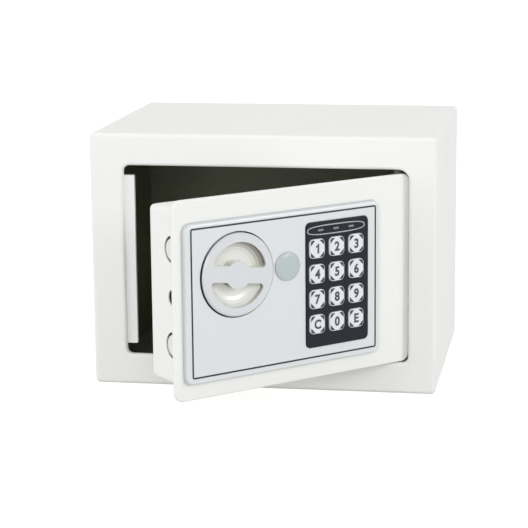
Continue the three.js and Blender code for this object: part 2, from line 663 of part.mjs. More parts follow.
// Pan: a deep tray behind the plate, round at its rear edges, with the bolt holes in its
// latch side and a window that the rear cover closes
function doorPan() {
  const x = (PAN_LEFT + PAN_RIGHT) / 2;
  const z = (PAN_BOTTOM + PAN_TOP) / 2;
  const width = PAN_RIGHT - PAN_LEFT;
  const height = PAN_TOP - PAN_BOTTOM;
  const tray = (shrink, front, rear, rearRadius) => {
    const edge = roundedEdge(
      0, width - 2 * shrink, height - 2 * shrink, PAN_CORNER_RADIUS - shrink, rearRadius,
    );
    const sections = edge.map((section) => ({ ...section, y: rear - section.y }));
    return loft(x, z, [...sections, { ...sections[sections.length - 1], y: front }]);
  };
  const outer = tray(0, PAN_FRONT, PAN_REAR, PAN_REAR_RADIUS);
  const inner = tray(
    PAN_SHEET, PAN_FRONT - 1, PAN_REAR - PAN_SHEET, PAN_REAR_RADIUS - PAN_SHEET,
  );
  const window = prism(roundedOutline(
    x, z, width - 2 * PAN_WINDOW_MARGIN, height - 2 * PAN_WINDOW_MARGIN, PAN_WINDOW_RADIUS,
  ), PAN_REAR - PAN_SHEET - 1, PAN_REAR + 1);
  const across = (height_, radius) => {
    const drill = new THREE.CylinderGeometry(radius, radius, 4 * PAN_SHEET, ROUND_FACETS);
    return drill.rotateZ(Math.PI / 2).translate(PAN_LEFT, BOLT_Y, height_);
  };
  const bolts = [-1, 1].map((side) => across(
    DOOR_MIDDLE + side * BOLT_SPACING / 2, BOLT_DIAMETER / 2 + BOLT_CLEARANCE,
  ));
  const spare = across(DOOR_MIDDLE, SPARE_HOLE_DIAMETER / 2);
  const pin = HINGE_PIN_DIAMETER / 2 + SEAT_GAP;
  const pins = turnedUpright(HINGE_X, HINGE_Y, [
    [0, PAN_BOTTOM - 1], [pin, PAN_BOTTOM - 1], [pin, PAN_TOP + 1], [0, PAN_TOP + 1],
  ]);
  const screws = coverScrewPlaces().map(([sx, sz]) => drum(
    sx, sz, COVER_SCREW_DIAMETER / 2 + SEAT_GAP, PAN_REAR - PAN_SHEET - 1, PAN_REAR + 1,
    TINY_FACETS,
  ));
  return cut(cut(outer, inner), window, ...bolts, spare, pins, ...screws);
}

// A plain pin from inside the pan, through its flange, to the bracket in the cabinet
function hingePin(side) {
  const middle = CABINET_HEIGHT / 2;
  const flange = side > 0 ? PAN_TOP - middle : middle - PAN_BOTTOM;
  const root = flange - PAN_SHEET - HINGE_PIN_ROOT;
  const opening = side > 0 ? OPENING_TOP - middle : middle - OPENING_BOTTOM;
  const tip = opening + CABINET_SHEET + WELD_SEAM + BRACKET_SHEET + 1.5;
  const radius = HINGE_PIN_DIAMETER / 2;
  const profile = [
    [0, root], [radius * 2 / 3, root], [radius, root + radius / 3],
    [radius, tip - radius / 3], [radius * 2 / 3, tip], [0, tip],
  ].map(([r, height]) => [r, middle + side * height]);
  return turnedUpright(HINGE_X, HINGE_Y, profile, ROUND_FACETS);
}

// Control panel: a drafted plastic shell with a border groove, a cup for the knob,
// a stepped window for the keypad and a hole for the lock's cap
function cupRadius() {
  return KNOB_DIAMETER / 2 + KNOB_POCKET_CLEARANCE + PANEL_CUP_WALL;
}

function panelScrewPlaces() {
  const dx = BORDER_WIDTH / 2 - PANEL_SCREW_INSET;
  const dz = PANEL_HEIGHT / 2 - PANEL_SCREW_INSET;
  return [[-dx, dz], [dx, dz], [-dx, -dz], [dx, -dz]]
    .map(([x, z]) => [PANEL_X + x, PANEL_Z + z]);
}

function controlPanel() {
  const face = roundedEdge(
    PANEL_FACE, PANEL_WIDTH - 2 * PANEL_DRAFT, PANEL_HEIGHT - 2 * PANEL_DRAFT,
    PANEL_CORNER_RADIUS - PANEL_DRAFT, PANEL_EDGE_RADIUS,
  );
  const foot = {
    y: PANEL_BACK, width: PANEL_WIDTH, height: PANEL_HEIGHT, radius: PANEL_CORNER_RADIUS,
  };
  const outer = loft(PANEL_X, PANEL_Z, [...face, foot]);
  const inside = prism(roundedOutline(
    PANEL_X, PANEL_Z, PANEL_WIDTH - 2 * (PANEL_WALL + PANEL_DRAFT),
    PANEL_HEIGHT - 2 * (PANEL_WALL + PANEL_DRAFT), PANEL_CORNER_RADIUS - PANEL_WALL,
  ), PANEL_FACE + PANEL_SKIN, PANEL_BACK + 1);
  const ring = (grow) => roundedOutline(
    PANEL_X, PANEL_Z + BORDER_RISE, BORDER_WIDTH + grow, BORDER_HEIGHT + grow, BORDER_RADIUS + grow / 2,
  );
  const grooveOutline = ring(BORDER_LINE);
  grooveOutline.holes.push(ring(-BORDER_LINE));
  const groove = prism(grooveOutline, PANEL_FACE - 1, PANEL_FACE + BORDER_DEPTH);
  const cupFloor = KNOB_BACK + SEAT_GAP;
  const cup = drum(
    KNOB_X, KNOB_Z, cupRadius(), PANEL_FACE + PANEL_SKIN / 2, cupFloor + PANEL_CUP_FLOOR,
    KNOB_FACETS,
  );
  const pocket = drum(
    KNOB_X, KNOB_Z, cupRadius() - PANEL_CUP_WALL, PANEL_FACE - 1, cupFloor, KNOB_FACETS,
  );
  const spindle = drum(
    KNOB_X, KNOB_Z, SPINDLE_DIAMETER / 2 + SEAT_GAP, cupFloor - 1, cupFloor + 5,
  );
  const seatFace = KEYPAD_BACK + SEAT_GAP;
  const seat = prism(keypadOutline(SEAT_GAP), PANEL_FACE - 1, seatFace);
  const window = prism(keypadOutline(-KEYPAD_LEDGE), PANEL_FACE - 1, PANEL_BACK + 1);
  const frame = prism(keypadOutline(PANEL_WALL), PANEL_FACE + PANEL_SKIN / 2, ledgeBack());
  const capHole = drum(
    LOCK_X, LOCK_Z, CAP_DIAMETER / 2 - CAP_RIM + SEAT_GAP, PANEL_FACE - 1, PANEL_BACK + 1,
  );
  const bosses = panelScrewPlaces().map(([x, z]) => drum(
    x, z, PANEL_BOSS_DIAMETER / 2, PANEL_FACE + PANEL_SKIN / 2, PANEL_BACK, TINY_FACETS,
  ));
  const bores = panelScrewPlaces().map(([x, z]) => drum(
    x, z, PANEL_SCREW_DIAMETER / 2 + SEAT_GAP, PANEL_FACE + PANEL_SKIN, PANEL_BACK + 1,
    TINY_FACETS,
  ));
  const shell = join(cut(outer, inside), cup, frame, ...bosses);
  return cut(shell, groove, pocket, spindle, seat, window, capHole, ...bores);
}

function ledgeBack() {
  return Math.min(KEYPAD_BACK + SEAT_GAP + PANEL_SKIN / 2, PANEL_BACK);
}

function panelScrew([x, z]) {
  const back = FRONT + DOOR_THICKNESS + SEAT_GAP;
  const head = PANEL_SCREW_HEAD_DIAMETER / 2;
  const shank = PANEL_SCREW_DIAMETER / 2;
  return turned(x, z, [
    [0, PANEL_FACE + PANEL_SKIN + SEAT_GAP], [shank, PANEL_FACE + PANEL_SKIN + SEAT_GAP],
    [shank, back], [head, back],
    [head, back + PANEL_SCREW_HEAD_THICKNESS * 0.6],
    [head * 0.7, back + PANEL_SCREW_HEAD_THICKNESS],
    [0, back + PANEL_SCREW_HEAD_THICKNESS],
  ], TINY_FACETS);
}

// Knob: a disc with two finger recesses either side of a bridge with a round hub. Each
// recess is a bowl whose wall curves down from the rim, and its outer corners are round.
// The bridge hangs a little clockwise of level when the bolts are drawn in
function recessOutline(side) {
  const rim = KNOB_RECESS_DIAMETER / 2;
  const hub = KNOB_HUB_DIAMETER / 2;
  const half = KNOB_BRIDGE_WIDTH / 2;
  const corner = KNOB_RECESS_CORNER;
  const cornerX = Math.sqrt((rim - corner) ** 2 - (half + corner) ** 2);
  const cornerAngle = Math.atan2(half + corner, cornerX);
  const hubAngle = Math.asin(half / hub);
  const outline = new THREE.Shape();
  outline.absarc(cornerX, half + corner, corner, -Math.PI / 2, cornerAngle);
  outline.absarc(0, 0, rim, cornerAngle, Math.PI - cornerAngle);
  outline.absarc(-cornerX, half + corner, corner, Math.PI - cornerAngle, 1.5 * Math.PI);
  outline.absarc(0, 0, hub, Math.PI - hubAngle, hubAngle, true);
  const tilt = THREE.MathUtils.degToRad(-KNOB_REST_TILT);
  const centre = new THREE.Vector2(KNOB_X, KNOB_Z);
  const points = outline.getPoints(KNOB_RECESS_STEPS).map((point) => new THREE.Vector2(
    KNOB_X + point.x, KNOB_Z + side * point.y,
  ).rotateAround(centre, tilt));
  return new THREE.Shape(points);
}

function knob() {
  const radius = KNOB_DIAMETER / 2;
  const disc = turned(KNOB_X, KNOB_Z, [
    [0, KNOB_FACE], [radius - KNOB_CHAMFER, KNOB_FACE], [radius, KNOB_FACE + KNOB_CHAMFER],
    [radius, KNOB_BACK], [0, KNOB_BACK],
  ], KNOB_FACETS);
  const rim = KNOB_RECESS_DIAMETER / 2 + 1;
  const inner = KNOB_RECESS_FLOOR_DIAMETER / 2;
  const profile = [[0, KNOB_FACE - 1], [rim, KNOB_FACE - 1]];
  for (let step = 0; step <= KNOB_RECESS_STEPS; step += 1) {
    const angle = (step / KNOB_RECESS_STEPS) * Math.PI / 2;
    profile.push([
      inner + (rim - inner) * Math.cos(angle), KNOB_FACE + KNOB_RECESS_DEPTH * Math.sin(angle),
    ]);
  }
  profile.push([0, KNOB_FACE + KNOB_RECESS_DEPTH]);
  const bowl = turned(KNOB_X, KNOB_Z, profile, KNOB_FACETS);
  const recesses = [1, -1].map((side) => overlap(
    bowl, prism(recessOutline(side), KNOB_FACE - 2, KNOB_BACK),
  ));
  const socket = drum(
    KNOB_X, KNOB_Z, SPINDLE_DIAMETER / 2 + SEAT_GAP, KNOB_BACK - SPINDLE_SOCKET_DEPTH,
    KNOB_BACK + 1,
  );
  return cut(disc, ...recesses, socket);
}

// Spindle with its crank: the pin points down to the right with the bolts drawn in,
// and swings a quarter turn to throw them
function crankPinPlace() {
  const offset = CRANK_RADIUS / Math.SQRT2;
  return [KNOB_X + offset, KNOB_Z - offset];
}

function knobSpindle() {
  const [pinX, pinZ] = crankPinPlace();
  const front = KNOB_BACK - SPINDLE_SOCKET_DEPTH + SEAT_GAP;
  const crankFront = CRANK_REAR - CRANK_THICKNESS;
  const shaft = drum(KNOB_X, KNOB_Z, SPINDLE_DIAMETER / 2, front, CRANK_REAR);
  const hub = drum(KNOB_X, KNOB_Z, CRANK_HUB_DIAMETER / 2, crankFront, CRANK_REAR);
  const eye = drum(pinX, pinZ, CRANK_EYE_DIAMETER / 2, crankFront, CRANK_REAR);
  const reach = new THREE.Vector2(pinX - KNOB_X, pinZ - KNOB_Z);
  const width = CRANK_EYE_DIAMETER;
  const web = new THREE.BoxGeometry(reach.length(), CRANK_THICKNESS, width * 0.95);
  web.rotateY(-reach.angle());
  web.translate((KNOB_X + pinX) / 2, crankFront + CRANK_THICKNESS / 2, (KNOB_Z + pinZ) / 2);
  const pin = drum(
    pinX, pinZ, CRANK_PIN_DIAMETER / 2, crankFront, BOLT_PLATE_REAR + CRANK_THICKNESS / 2,
    SMALL_FACETS,
  );
  return join(shaft, hub, eye, web, pin);
}

// Bolt plate: carries both bolts, slides on two studs, is driven by the crank pin in its
// upright slot, and has a notch in its arm for the solenoid's plunger
function studPlaces() {
  return [
    [BOLT_PLATE_RIGHT + STUD_UPPER_REACH, DOOR_MIDDLE + STUD_UPPER_RISE],
    [BOLT_PLATE_LEFT + STUD_LOWER_INSET, DOOR_MIDDLE - STUD_LOWER_DROP],
  ];
}

function boltPlate() {
  const height = BOLT_SPACING + BOLT_DIAMETER;
  const main = prism(roundedOutline(
    (BOLT_PLATE_LEFT + BOLT_PLATE_RIGHT) / 2, DOOR_MIDDLE,
    BOLT_PLATE_RIGHT - BOLT_PLATE_LEFT, height, BOLT_PLATE_CORNER_RADIUS,
  ), BOLT_PLATE_FRONT, BOLT_PLATE_REAR);
  const arm = prism(roundedOutline(
    BOLT_PLATE_RIGHT + BOLT_ARM_LENGTH / 2 - BOLT_PLATE_END_MARGIN / 2,
    (ARM_TOP + ARM_BOTTOM) / 2,
    BOLT_ARM_LENGTH + BOLT_PLATE_END_MARGIN, BOLT_ARM_WIDTH, BOLT_PLATE_CORNER_RADIUS / 2,
  ), BOLT_PLATE_FRONT, BOLT_PLATE_REAR);
  const tongue = prism(roundedOutline(
    BOLT_PLATE_RIGHT + TONGUE_LENGTH / 2 - BOLT_PLATE_END_MARGIN / 2,
    DOOR_MIDDLE + (BOLT_SPACING + BOLT_DIAMETER - TONGUE_WIDTH) / 2,
    TONGUE_LENGTH + BOLT_PLATE_END_MARGIN, TONGUE_WIDTH, BOLT_PLATE_CORNER_RADIUS,
  ), BOLT_PLATE_FRONT, BOLT_PLATE_REAR);
  const from = BOLT_PLATE_FRONT - 1;
  const to = BOLT_PLATE_REAR + 1;
  const slotWidth = STUD_DIAMETER + 2 * SEAT_GAP;
  const slots = studPlaces().map(([x, z]) => prism(roundedOutline(
    x + BOLT_THROW / 2, z, BOLT_THROW + slotWidth + 2 * SEAT_GAP, slotWidth, slotWidth / 2,
  ), from, to, 6));
  const [pinX, pinZ] = crankPinPlace();
  const sweep = CRANK_RADIUS - CRANK_RADIUS / Math.SQRT2;
  const crankWidth = CRANK_PIN_DIAMETER + 2 * CRANK_PIN_CLEARANCE;
  const crankSlot = prism(roundedOutline(
    pinX, pinZ - sweep / 2, crankWidth, crankWidth + sweep, crankWidth / 2,
  ), from, to, 6);
  const notchHalf = PLUNGER_DIAMETER / 2 + CRANK_PIN_CLEARANCE;
  const notchX = SOLENOID_X + BOLT_THROW;
  const notch = block(
    notchX - notchHalf, notchX + notchHalf, from, to,
    ARM_BOTTOM - 1, ARM_BOTTOM + PLUNGER_TRAVEL,
  );
  return cut(join(main, arm, tongue), ...slots, crankSlot, notch);
}

function bolt(side) {
  const radius = BOLT_DIAMETER / 2;
  const rod = new THREE.LatheGeometry([
    [0, 0], [radius - BOLT_CHAMFER, 0], [radius, BOLT_CHAMFER],
    [radius, BOLT_LENGTH], [0, BOLT_LENGTH],
  ].map(([r, y]) => new THREE.Vector2(r, y)), ROUND_FACETS);
  rod.rotateZ(-Math.PI / 2);
  rod.translate(PAN_LEFT, BOLT_Y, DOOR_MIDDLE + side * BOLT_SPACING / 2);
  const tenon = block(
    BOLT_PLATE_LEFT - SEAT_GAP, PAN_LEFT + BOLT_LENGTH + 1,
    BOLT_PLATE_FRONT - SEAT_GAP, BOLT_Y + radius + 1, 0, CABINET_HEIGHT,
  );
  return cut(rod, tenon);
}

function guideStud([x, z]) {
  const shank = STUD_DIAMETER / 2;
  const head = STUD_HEAD_DIAMETER / 2;
  const back = BOLT_PLATE_REAR + SEAT_GAP;
  return turned(x, z, [
    [0, FRONT + DOOR_THICKNESS + SEAT_GAP], [shank, FRONT + DOOR_THICKNESS + SEAT_GAP],
    [shank, back], [head, back],
    [head, back + STUD_HEAD_THICKNESS], [0, back + STUD_HEAD_THICKNESS],
  ], SMALL_FACETS);
}

// Emergency lock: a barrel with its nut, a plug with the keyway and cam, and the cap
function lockCylinder() {
  const radius = LOCK_DIAMETER / 2;
  const bore = PLUG_DIAMETER / 2 + PLUG_CLEARANCE;
  const front = PANEL_BACK;
  const rear = FRONT + LOCK_DEPTH;
  const nut = FRONT + DOOR_THICKNESS + SEAT_GAP;
  const barrel = turned(LOCK_X, LOCK_Z, [
    [0, front], [radius, front], [radius, nut],
    [LOCK_NUT_DIAMETER / 2, nut], [LOCK_NUT_DIAMETER / 2, nut + LOCK_NUT_THICKNESS],
    [radius, nut + LOCK_NUT_THICKNESS], [radius, rear], [0, rear],
  ]);
  return cut(barrel, drum(LOCK_X, LOCK_Z, bore, front - 1, rear + 1));
}

function lockPlug() {
  const radius = PLUG_DIAMETER / 2;
  const front = PANEL_BACK + SEAT_GAP;
  const rear = FRONT + LOCK_DEPTH + SEAT_GAP;
  const plug = drum(LOCK_X, LOCK_Z, radius, front, rear + CAM_THICKNESS);
  const cam = prism(roundedOutline(
    LOCK_X, LOCK_Z - CAM_LENGTH / 2, PLUG_DIAMETER, CAM_LENGTH + PLUG_DIAMETER, radius,
  ), rear, rear + CAM_THICKNESS, 6);
  const keyway = block(
    LOCK_X - KEYWAY_WIDTH / 2, LOCK_X + KEYWAY_WIDTH / 2, front - 1, front + KEYWAY_DEPTH,
    LOCK_Z - KEYWAY_HEIGHT / 2, LOCK_Z + KEYWAY_HEIGHT / 2,
  );
  return cut(join(plug, cam), keyway);
}

function keyholeCap() {
  const radius = CAP_DIAMETER / 2;
  const plug = radius - CAP_RIM;
  const face = PANEL_FACE - SEAT_GAP;
  const back = face + CAP_PLUG_LENGTH;
  const profile = [
    [0, back - CAP_SKIN], [plug - CAP_SKIN, back - CAP_SKIN], [plug - CAP_SKIN, back],
    [plug, back], [plug, face], [radius, face], [radius, face - CAP_RIM_HEIGHT],
  ];
  for (let step = 1; step <= CORNER_STEPS; step += 1) {
    const angle = (step / CORNER_STEPS) * Math.PI / 2;
    profile.push([
      radius * Math.cos(angle), face - CAP_RIM_HEIGHT - CAP_DOME * Math.sin(angle),
    ]);
  }
  profile[profile.length - 1][0] = 0;
  return turned(LOCK_X, LOCK_Z, profile);
}

// Keypad: a face plate, twelve keys with flanges under it, a lamp bar and the board
function keypadOutline(grow) {
  return roundedOutline(
    KEYPAD_X, KEYPAD_Z, KEYPAD_WIDTH + 2 * grow, KEYPAD_HEIGHT + 2 * grow,
    KEYPAD_CORNER_RADIUS + grow,
  );
}

function boardWidth() {
  return KEYPAD_WIDTH - 2 * (KEYPAD_LEDGE + SEAT_GAP);
}

function boardHeight() {
  return KEYPAD_HEIGHT - 2 * (KEYPAD_LEDGE + SEAT_GAP);
}

function keyPlaces() {
  const names = [['1', '2', '3'], ['4', '5', '6'], ['7', '8', '9'], ['c', '0', 'e']];
  return names.flatMap((row, down) => row.map((name, across) => [
    name, KEY_GRID_X + (across - 1) * KEY_PITCH_ACROSS,
    KEY_GRID_Z + (1.5 - down) * KEY_PITCH_DOWN,
  ]));
}

function lampPlaces() {
  return [-1, 0, 1].map((side) => [KEY_GRID_X + side * LAMP_PITCH, KEYPAD_Z + LAMP_RISE]);
}

function keypadPlate() {
  const edge = roundedEdge(
    KEYPAD_FACE, KEYPAD_WIDTH, KEYPAD_HEIGHT, KEYPAD_CORNER_RADIUS, KEYPAD_PROUD / 2,
  );
  const full = { width: KEYPAD_WIDTH, height: KEYPAD_HEIGHT, radius: KEYPAD_CORNER_RADIUS };
  const plate = loft(KEYPAD_X, KEYPAD_Z, [...edge, { y: KEYPAD_BACK, ...full }]);
  const holes = keyPlaces().map(([, x, z]) => prism(roundedOutline(
    x, z, KEY_WIDTH + 2 * KEY_CLEARANCE, KEY_HEIGHT + 2 * KEY_CLEARANCE,
    KEY_CORNER_RADIUS + KEY_CLEARANCE,
  ), KEYPAD_FACE - 1, KEYPAD_BACK + 1, KEY_STEPS));
  const lamps = lampPlaces().map(([x, z]) => prism(roundedOutline(
    x, z, LAMP_WIDTH + 2 * KEY_CLEARANCE, LAMP_HEIGHT + 2 * KEY_CLEARANCE, LAMP_HEIGHT / 2,
  ), KEYPAD_FACE - 1, KEYPAD_BACK + 1, 2));
  return cut(plate, ...holes, ...lamps);
}

function key(x, z) {
  const face = KEYPAD_FACE - KEY_PROUD;
  const edge = roundedEdge(
    face, KEY_WIDTH, KEY_HEIGHT, KEY_CORNER_RADIUS, KEY_TOP_RADIUS, KEY_STEPS,
  );
  const body = { width: KEY_WIDTH, height: KEY_HEIGHT, radius: KEY_CORNER_RADIUS };
  const flange = {
    width: KEY_WIDTH + 2 * KEY_FLANGE,
    height: KEY_HEIGHT + 2 * KEY_FLANGE,
    radius: KEY_CORNER_RADIUS + KEY_FLANGE,
  };
  const step = KEY_BACK - KEY_FLANGE_THICKNESS;
  return loft(x, z, [
    ...edge, { y: step, ...body }, { y: step, ...flange }, { y: KEY_BACK, ...flange },
  ], KEY_STEPS);
}

function lampBar() {
  const back = KEYPAD_BACK + SEAT_GAP;
  const bar = prism(roundedOutline(
    KEY_GRID_X, KEYPAD_Z + LAMP_RISE, 2 * LAMP_PITCH + 2 * LAMP_WIDTH, LAMP_BAR_HEIGHT,
    LAMP_BAR_HEIGHT / 2,
  ), back, back + LAMP_BAR_THICKNESS, 2);
  const windows = lampPlaces().map(([x, z]) => prism(roundedOutline(
    x, z, LAMP_WIDTH, LAMP_HEIGHT, LAMP_HEIGHT / 2,
  ), KEYPAD_FACE, back + LAMP_BAR_THICKNESS / 2, 2));
  return join(bar, ...windows);
}

function keypadBoard() {
  return prism(roundedOutline(
    KEYPAD_X, KEYPAD_Z, boardWidth(), boardHeight(), 1.5,
  ), BOARD_FRONT, BOARD_FRONT + BOARD_THICKNESS);
}

// Solenoid on the pan's floor, with the plunger under the bolt plate's arm
function solenoid() {
  const half = SOLENOID_WIDTH / 2;
  const frame = block(
    SOLENOID_X - half, SOLENOID_X + half,
    SOLENOID_Y - SOLENOID_THICKNESS / 2, SOLENOID_Y + SOLENOID_THICKNESS / 2,
    SOLENOID_BOTTOM, SOLENOID_TOP,
  );
  const waist = [-1, 1].map((side) => block(
    SOLENOID_X - half - 1, SOLENOID_X + half + 1,
    side > 0 ? SOLENOID_Y + SOLENOID_THICKNESS / 2 - 1.5 : SOLENOID_Y - SOLENOID_THICKNESS,
    side > 0 ? SOLENOID_Y + SOLENOID_THICKNESS : SOLENOID_Y - SOLENOID_THICKNESS / 2 + 1.5,
    SOLENOID_BOTTOM + 2, SOLENOID_TOP - 2,
  ));
  const bore = PLUNGER_DIAMETER / 2 + PLUNGER_CLEARANCE;
  const depth = SOLENOID_TOP - PLUNGER_ENGAGEMENT - PLUNGER_TRAVEL - SEAT_GAP;
  const well = turnedUpright(SOLENOID_X, SOLENOID_Y, [
    [0, depth], [bore, depth], [bore, SOLENOID_TOP + 1], [0, SOLENOID_TOP + 1],
  ], ROUND_FACETS);
  return cut(frame, ...waist, well);
}

function solenoidPlunger() {
  const radius = PLUNGER_DIAMETER / 2;
  const collar = PLUNGER_COLLAR_DIAMETER / 2;
  const tip = ARM_BOTTOM - SEAT_GAP;
  const collarTop = tip - PLUNGER_TIP_LENGTH;
  const collarBottom = collarTop - PLUNGER_COLLAR_THICKNESS;
  return turnedUpright(SOLENOID_X, SOLENOID_Y, [
    [0, SOLENOID_TOP - PLUNGER_ENGAGEMENT], [radius, SOLENOID_TOP - PLUNGER_ENGAGEMENT],
    [radius, collarBottom], [collar, collarBottom], [collar, collarTop], [radius, collarTop],
    [radius, tip - 0.5], [radius - 0.5, tip], [0, tip],
  ]);
}

// The plunger's return spring, one unbroken helix between the frame and the collar
function solenoidSpring() {
  const wire = SPRING_WIRE_DIAMETER / 2;
  const bottom = SOLENOID_TOP + SEAT_GAP + wire;
  const collar = ARM_BOTTOM - SEAT_GAP - PLUNGER_TIP_LENGTH - PLUNGER_COLLAR_THICKNESS;
  const top = collar - SEAT_GAP - wire;
  const radius = PLUNGER_DIAMETER / 2 + SEAT_GAP + wire;
  class Helix extends THREE.Curve {
    getPoint(t) {
      const angle = t * SPRING_COILS * 2 * Math.PI;
      return new THREE.Vector3(
        radius * Math.cos(angle), radius * Math.sin(angle), bottom + t * (top - bottom),
      );
    }
  }
  const section = new THREE.Shape().absarc(0, 0, wire, 0, 2 * Math.PI);
  const coil = new THREE.ExtrudeGeometry(section, {
    steps: SPRING_COILS * 8, curveSegments: 3, bevelEnabled: false, extrudePath: new Helix(),
  });
  return closed(coil.translate(SOLENOID_X, SOLENOID_Y, 0));
}

// Rear cover over the pan's window, with the battery hatch and the reset button's hole
function coverSize() {
  return [
    PAN_RIGHT - PAN_LEFT - 2 * COVER_MARGIN, PAN_TOP - PAN_BOTTOM - 2 * COVER_MARGIN,
  ];
}

function coverScrewPlaces() {
  const [width, height] = coverSize();
  const x = (PAN_LEFT + PAN_RIGHT) / 2;
  const z = (PAN_BOTTOM + PAN_TOP) / 2;
  const dx = width / 2 - COVER_SCREW_INSET;
  const dz = height / 2 - COVER_SCREW_INSET;
  return [[-dx, dz], [dx, dz], [-dx, -dz], [dx, -dz]].map(([a, b]) => [x + a, z + b]);
}

function innerCover() {
  const [width, height] = coverSize();
  const sheet = prism(roundedOutline(
    (PAN_LEFT + PAN_RIGHT) / 2, (PAN_BOTTOM + PAN_TOP) / 2, width, height,
    COVER_CORNER_RADIUS,
  ), COVER_FRONT, COVER_REAR);
  const from = COVER_FRONT - 1;
  const to = COVER_REAR + 1;
  const hatch = prism(hatchOutline(SEAT_GAP), from, to);
  const reset = drum(RESET_X, RESET_Z, RESET_DIAMETER / 2 + SEAT_GAP, from, to);
  const screws = coverScrewPlaces().map(([x, z]) => drum(
    x, z, COVER_SCREW_DIAMETER / 2 + SEAT_GAP, from, to, TINY_FACETS,
  ));
  return cut(sheet, hatch, reset, ...screws);
}

function hatchOutline(grow) {
  return roundedOutline(
    HATCH_X, HATCH_Z, TRAY_WIDTH + 2 * grow, TRAY_HEIGHT + 2 * grow, 2 + grow,
  );
}

function coverScrew([x, z]) {
  const shank = COVER_SCREW_DIAMETER / 2;
  const head = COVER_SCREW_HEAD_DIAMETER / 2;
  const seat = COVER_REAR + SEAT_GAP;
  return turned(x, z, [
    [0, seat - COVER_SCREW_LENGTH], [shank, seat - COVER_SCREW_LENGTH], [shank, seat],
    [head, seat], [head, seat + COVER_SCREW_HEAD_THICKNESS * 0.5],
    [head * 0.75, seat + COVER_SCREW_HEAD_THICKNESS], [0, seat + COVER_SCREW_HEAD_THICKNESS],
  ], TINY_FACETS);
}

// Battery tray with four bays, hung from the cover by its flange
function batteryPlaces() {
  return Array.from({ length: BATTERY_COUNT }, (_, i) => (
    HATCH_X + (i - (BATTERY_COUNT - 1) / 2) * BATTERY_PITCH
  ));
}

function batteryTray() {
  const box = prism(hatchOutline(0), TRAY_FRONT, TRAY_REAR);
  const flange = prism(hatchOutline(TRAY_FLANGE), TRAY_REAR - TRAY_WALL, TRAY_REAR);
  const reach = BATTERY_DIAMETER / 2 + SEAT_GAP;
  const low = HATCH_Z - TRAY_BAY_HEIGHT / 2;
  const high = HATCH_Z + TRAY_BAY_HEIGHT / 2;
  const bays = batteryPlaces().map((x) => turnedUpright(x, BATTERY_Y, [
    [0, low], [reach, low], [reach, high], [0, high],
  ], ROUND_FACETS));
  const mouth = block(
    HATCH_X - TRAY_BAY_WIDTH / 2, HATCH_X + TRAY_BAY_WIDTH / 2,
    BATTERY_Y, TRAY_REAR + 1, low, high,
  );
  const ends = [low, high - CONTACT_THICKNESS - 2 * SEAT_GAP].map((z) => block(
    HATCH_X - TRAY_BAY_WIDTH / 2, HATCH_X + TRAY_BAY_WIDTH / 2,
    BATTERY_Y - CONTACT_DEPTH / 2, TRAY_REAR + 1, z, z + CONTACT_THICKNESS + 2 * SEAT_GAP,
  ));
  return cut(join(box, flange), ...bays, mouth, ...ends);
}

function batteryContact(side) {
  const end = HATCH_Z + side * (TRAY_BAY_HEIGHT / 2 - SEAT_GAP);
  const near = end - side * CONTACT_THICKNESS;
  return block(
    HATCH_X - TRAY_BAY_WIDTH / 2 + SEAT_GAP, HATCH_X + TRAY_BAY_WIDTH / 2 - SEAT_GAP,
    BATTERY_Y - CONTACT_DEPTH / 2 + SEAT_GAP, BATTERY_Y + CONTACT_DEPTH / 2,
    Math.min(end, near), Math.max(end, near),
  );
}

function battery(x, side) {
  const radius = BATTERY_DIAMETER / 2;
  const nub = BATTERY_NUB_DIAMETER / 2;
  const half = BATTERY_TOTAL / 2;
  const profile = [
    [0, -half], [radius - 0.6, -half], [radius, -half + 0.6],
    [radius, half - BATTERY_NUB_LENGTH - 0.6], [radius - 0.6, half - BATTERY_NUB_LENGTH],
    [nub, half - BATTERY_NUB_LENGTH], [nub, half], [0, half],
  ].map(([r, z]) => [r, HATCH_Z + side * z]);
  return turnedUpright(x, BATTERY_Y, profile);
}

function batteryCover() {
  const face = TRAY_REAR + SEAT_GAP;
  const lid = prism(hatchOutline(0), face, face + LID_THICKNESS);
  const grips = Array.from({ length: LID_GRIP_COUNT }, (_, i) => {
    const z = HATCH_Z + TRAY_HEIGHT / 2 - (i + 2) * LID_GRIP_PITCH;
    return block(
      HATCH_X - TRAY_WIDTH / 6, HATCH_X + TRAY_WIDTH / 6,
      face + LID_THICKNESS - LID_GRIP_DEPTH, face + LID_THICKNESS + 1,
      z, z + LID_GRIP_PITCH / 2,
    );
  });
  return cut(lid, ...grips);
}

// Reset button and its switch, beside the hinge
function resetButton() {
  const radius = RESET_DIAMETER / 2;
  const flange = RESET_FLANGE_DIAMETER / 2;
  const top = COVER_REAR + RESET_PROUD;
  const seat = COVER_FRONT - SEAT_GAP;
  const back = seat - RESET_FLANGE_THICKNESS;
  return turned(RESET_X, RESET_Z, [
    [0, back - RESET_STEM_LENGTH], [radius / 2, back - RESET_STEM_LENGTH],
    [radius / 2, back], [flange, back], [flange, seat], [radius, seat],
    [radius, top - 0.5], [radius - 0.5, top], [0, top],
  ], 24);
}

function resetSwitch() {
  const top = COVER_FRONT - SEAT_GAP - RESET_FLANGE_THICKNESS - RESET_STEM_LENGTH
    - RESET_TRAVEL - SEAT_GAP;
  return block(
    RESET_X - SWITCH_SIZE / 2, PAN_RIGHT - PAN_SHEET - SEAT_GAP,
    top - SWITCH_DEPTH, top, RESET_Z - SWITCH_SIZE / 2, RESET_Z + SWITCH_SIZE / 2,
  );
}

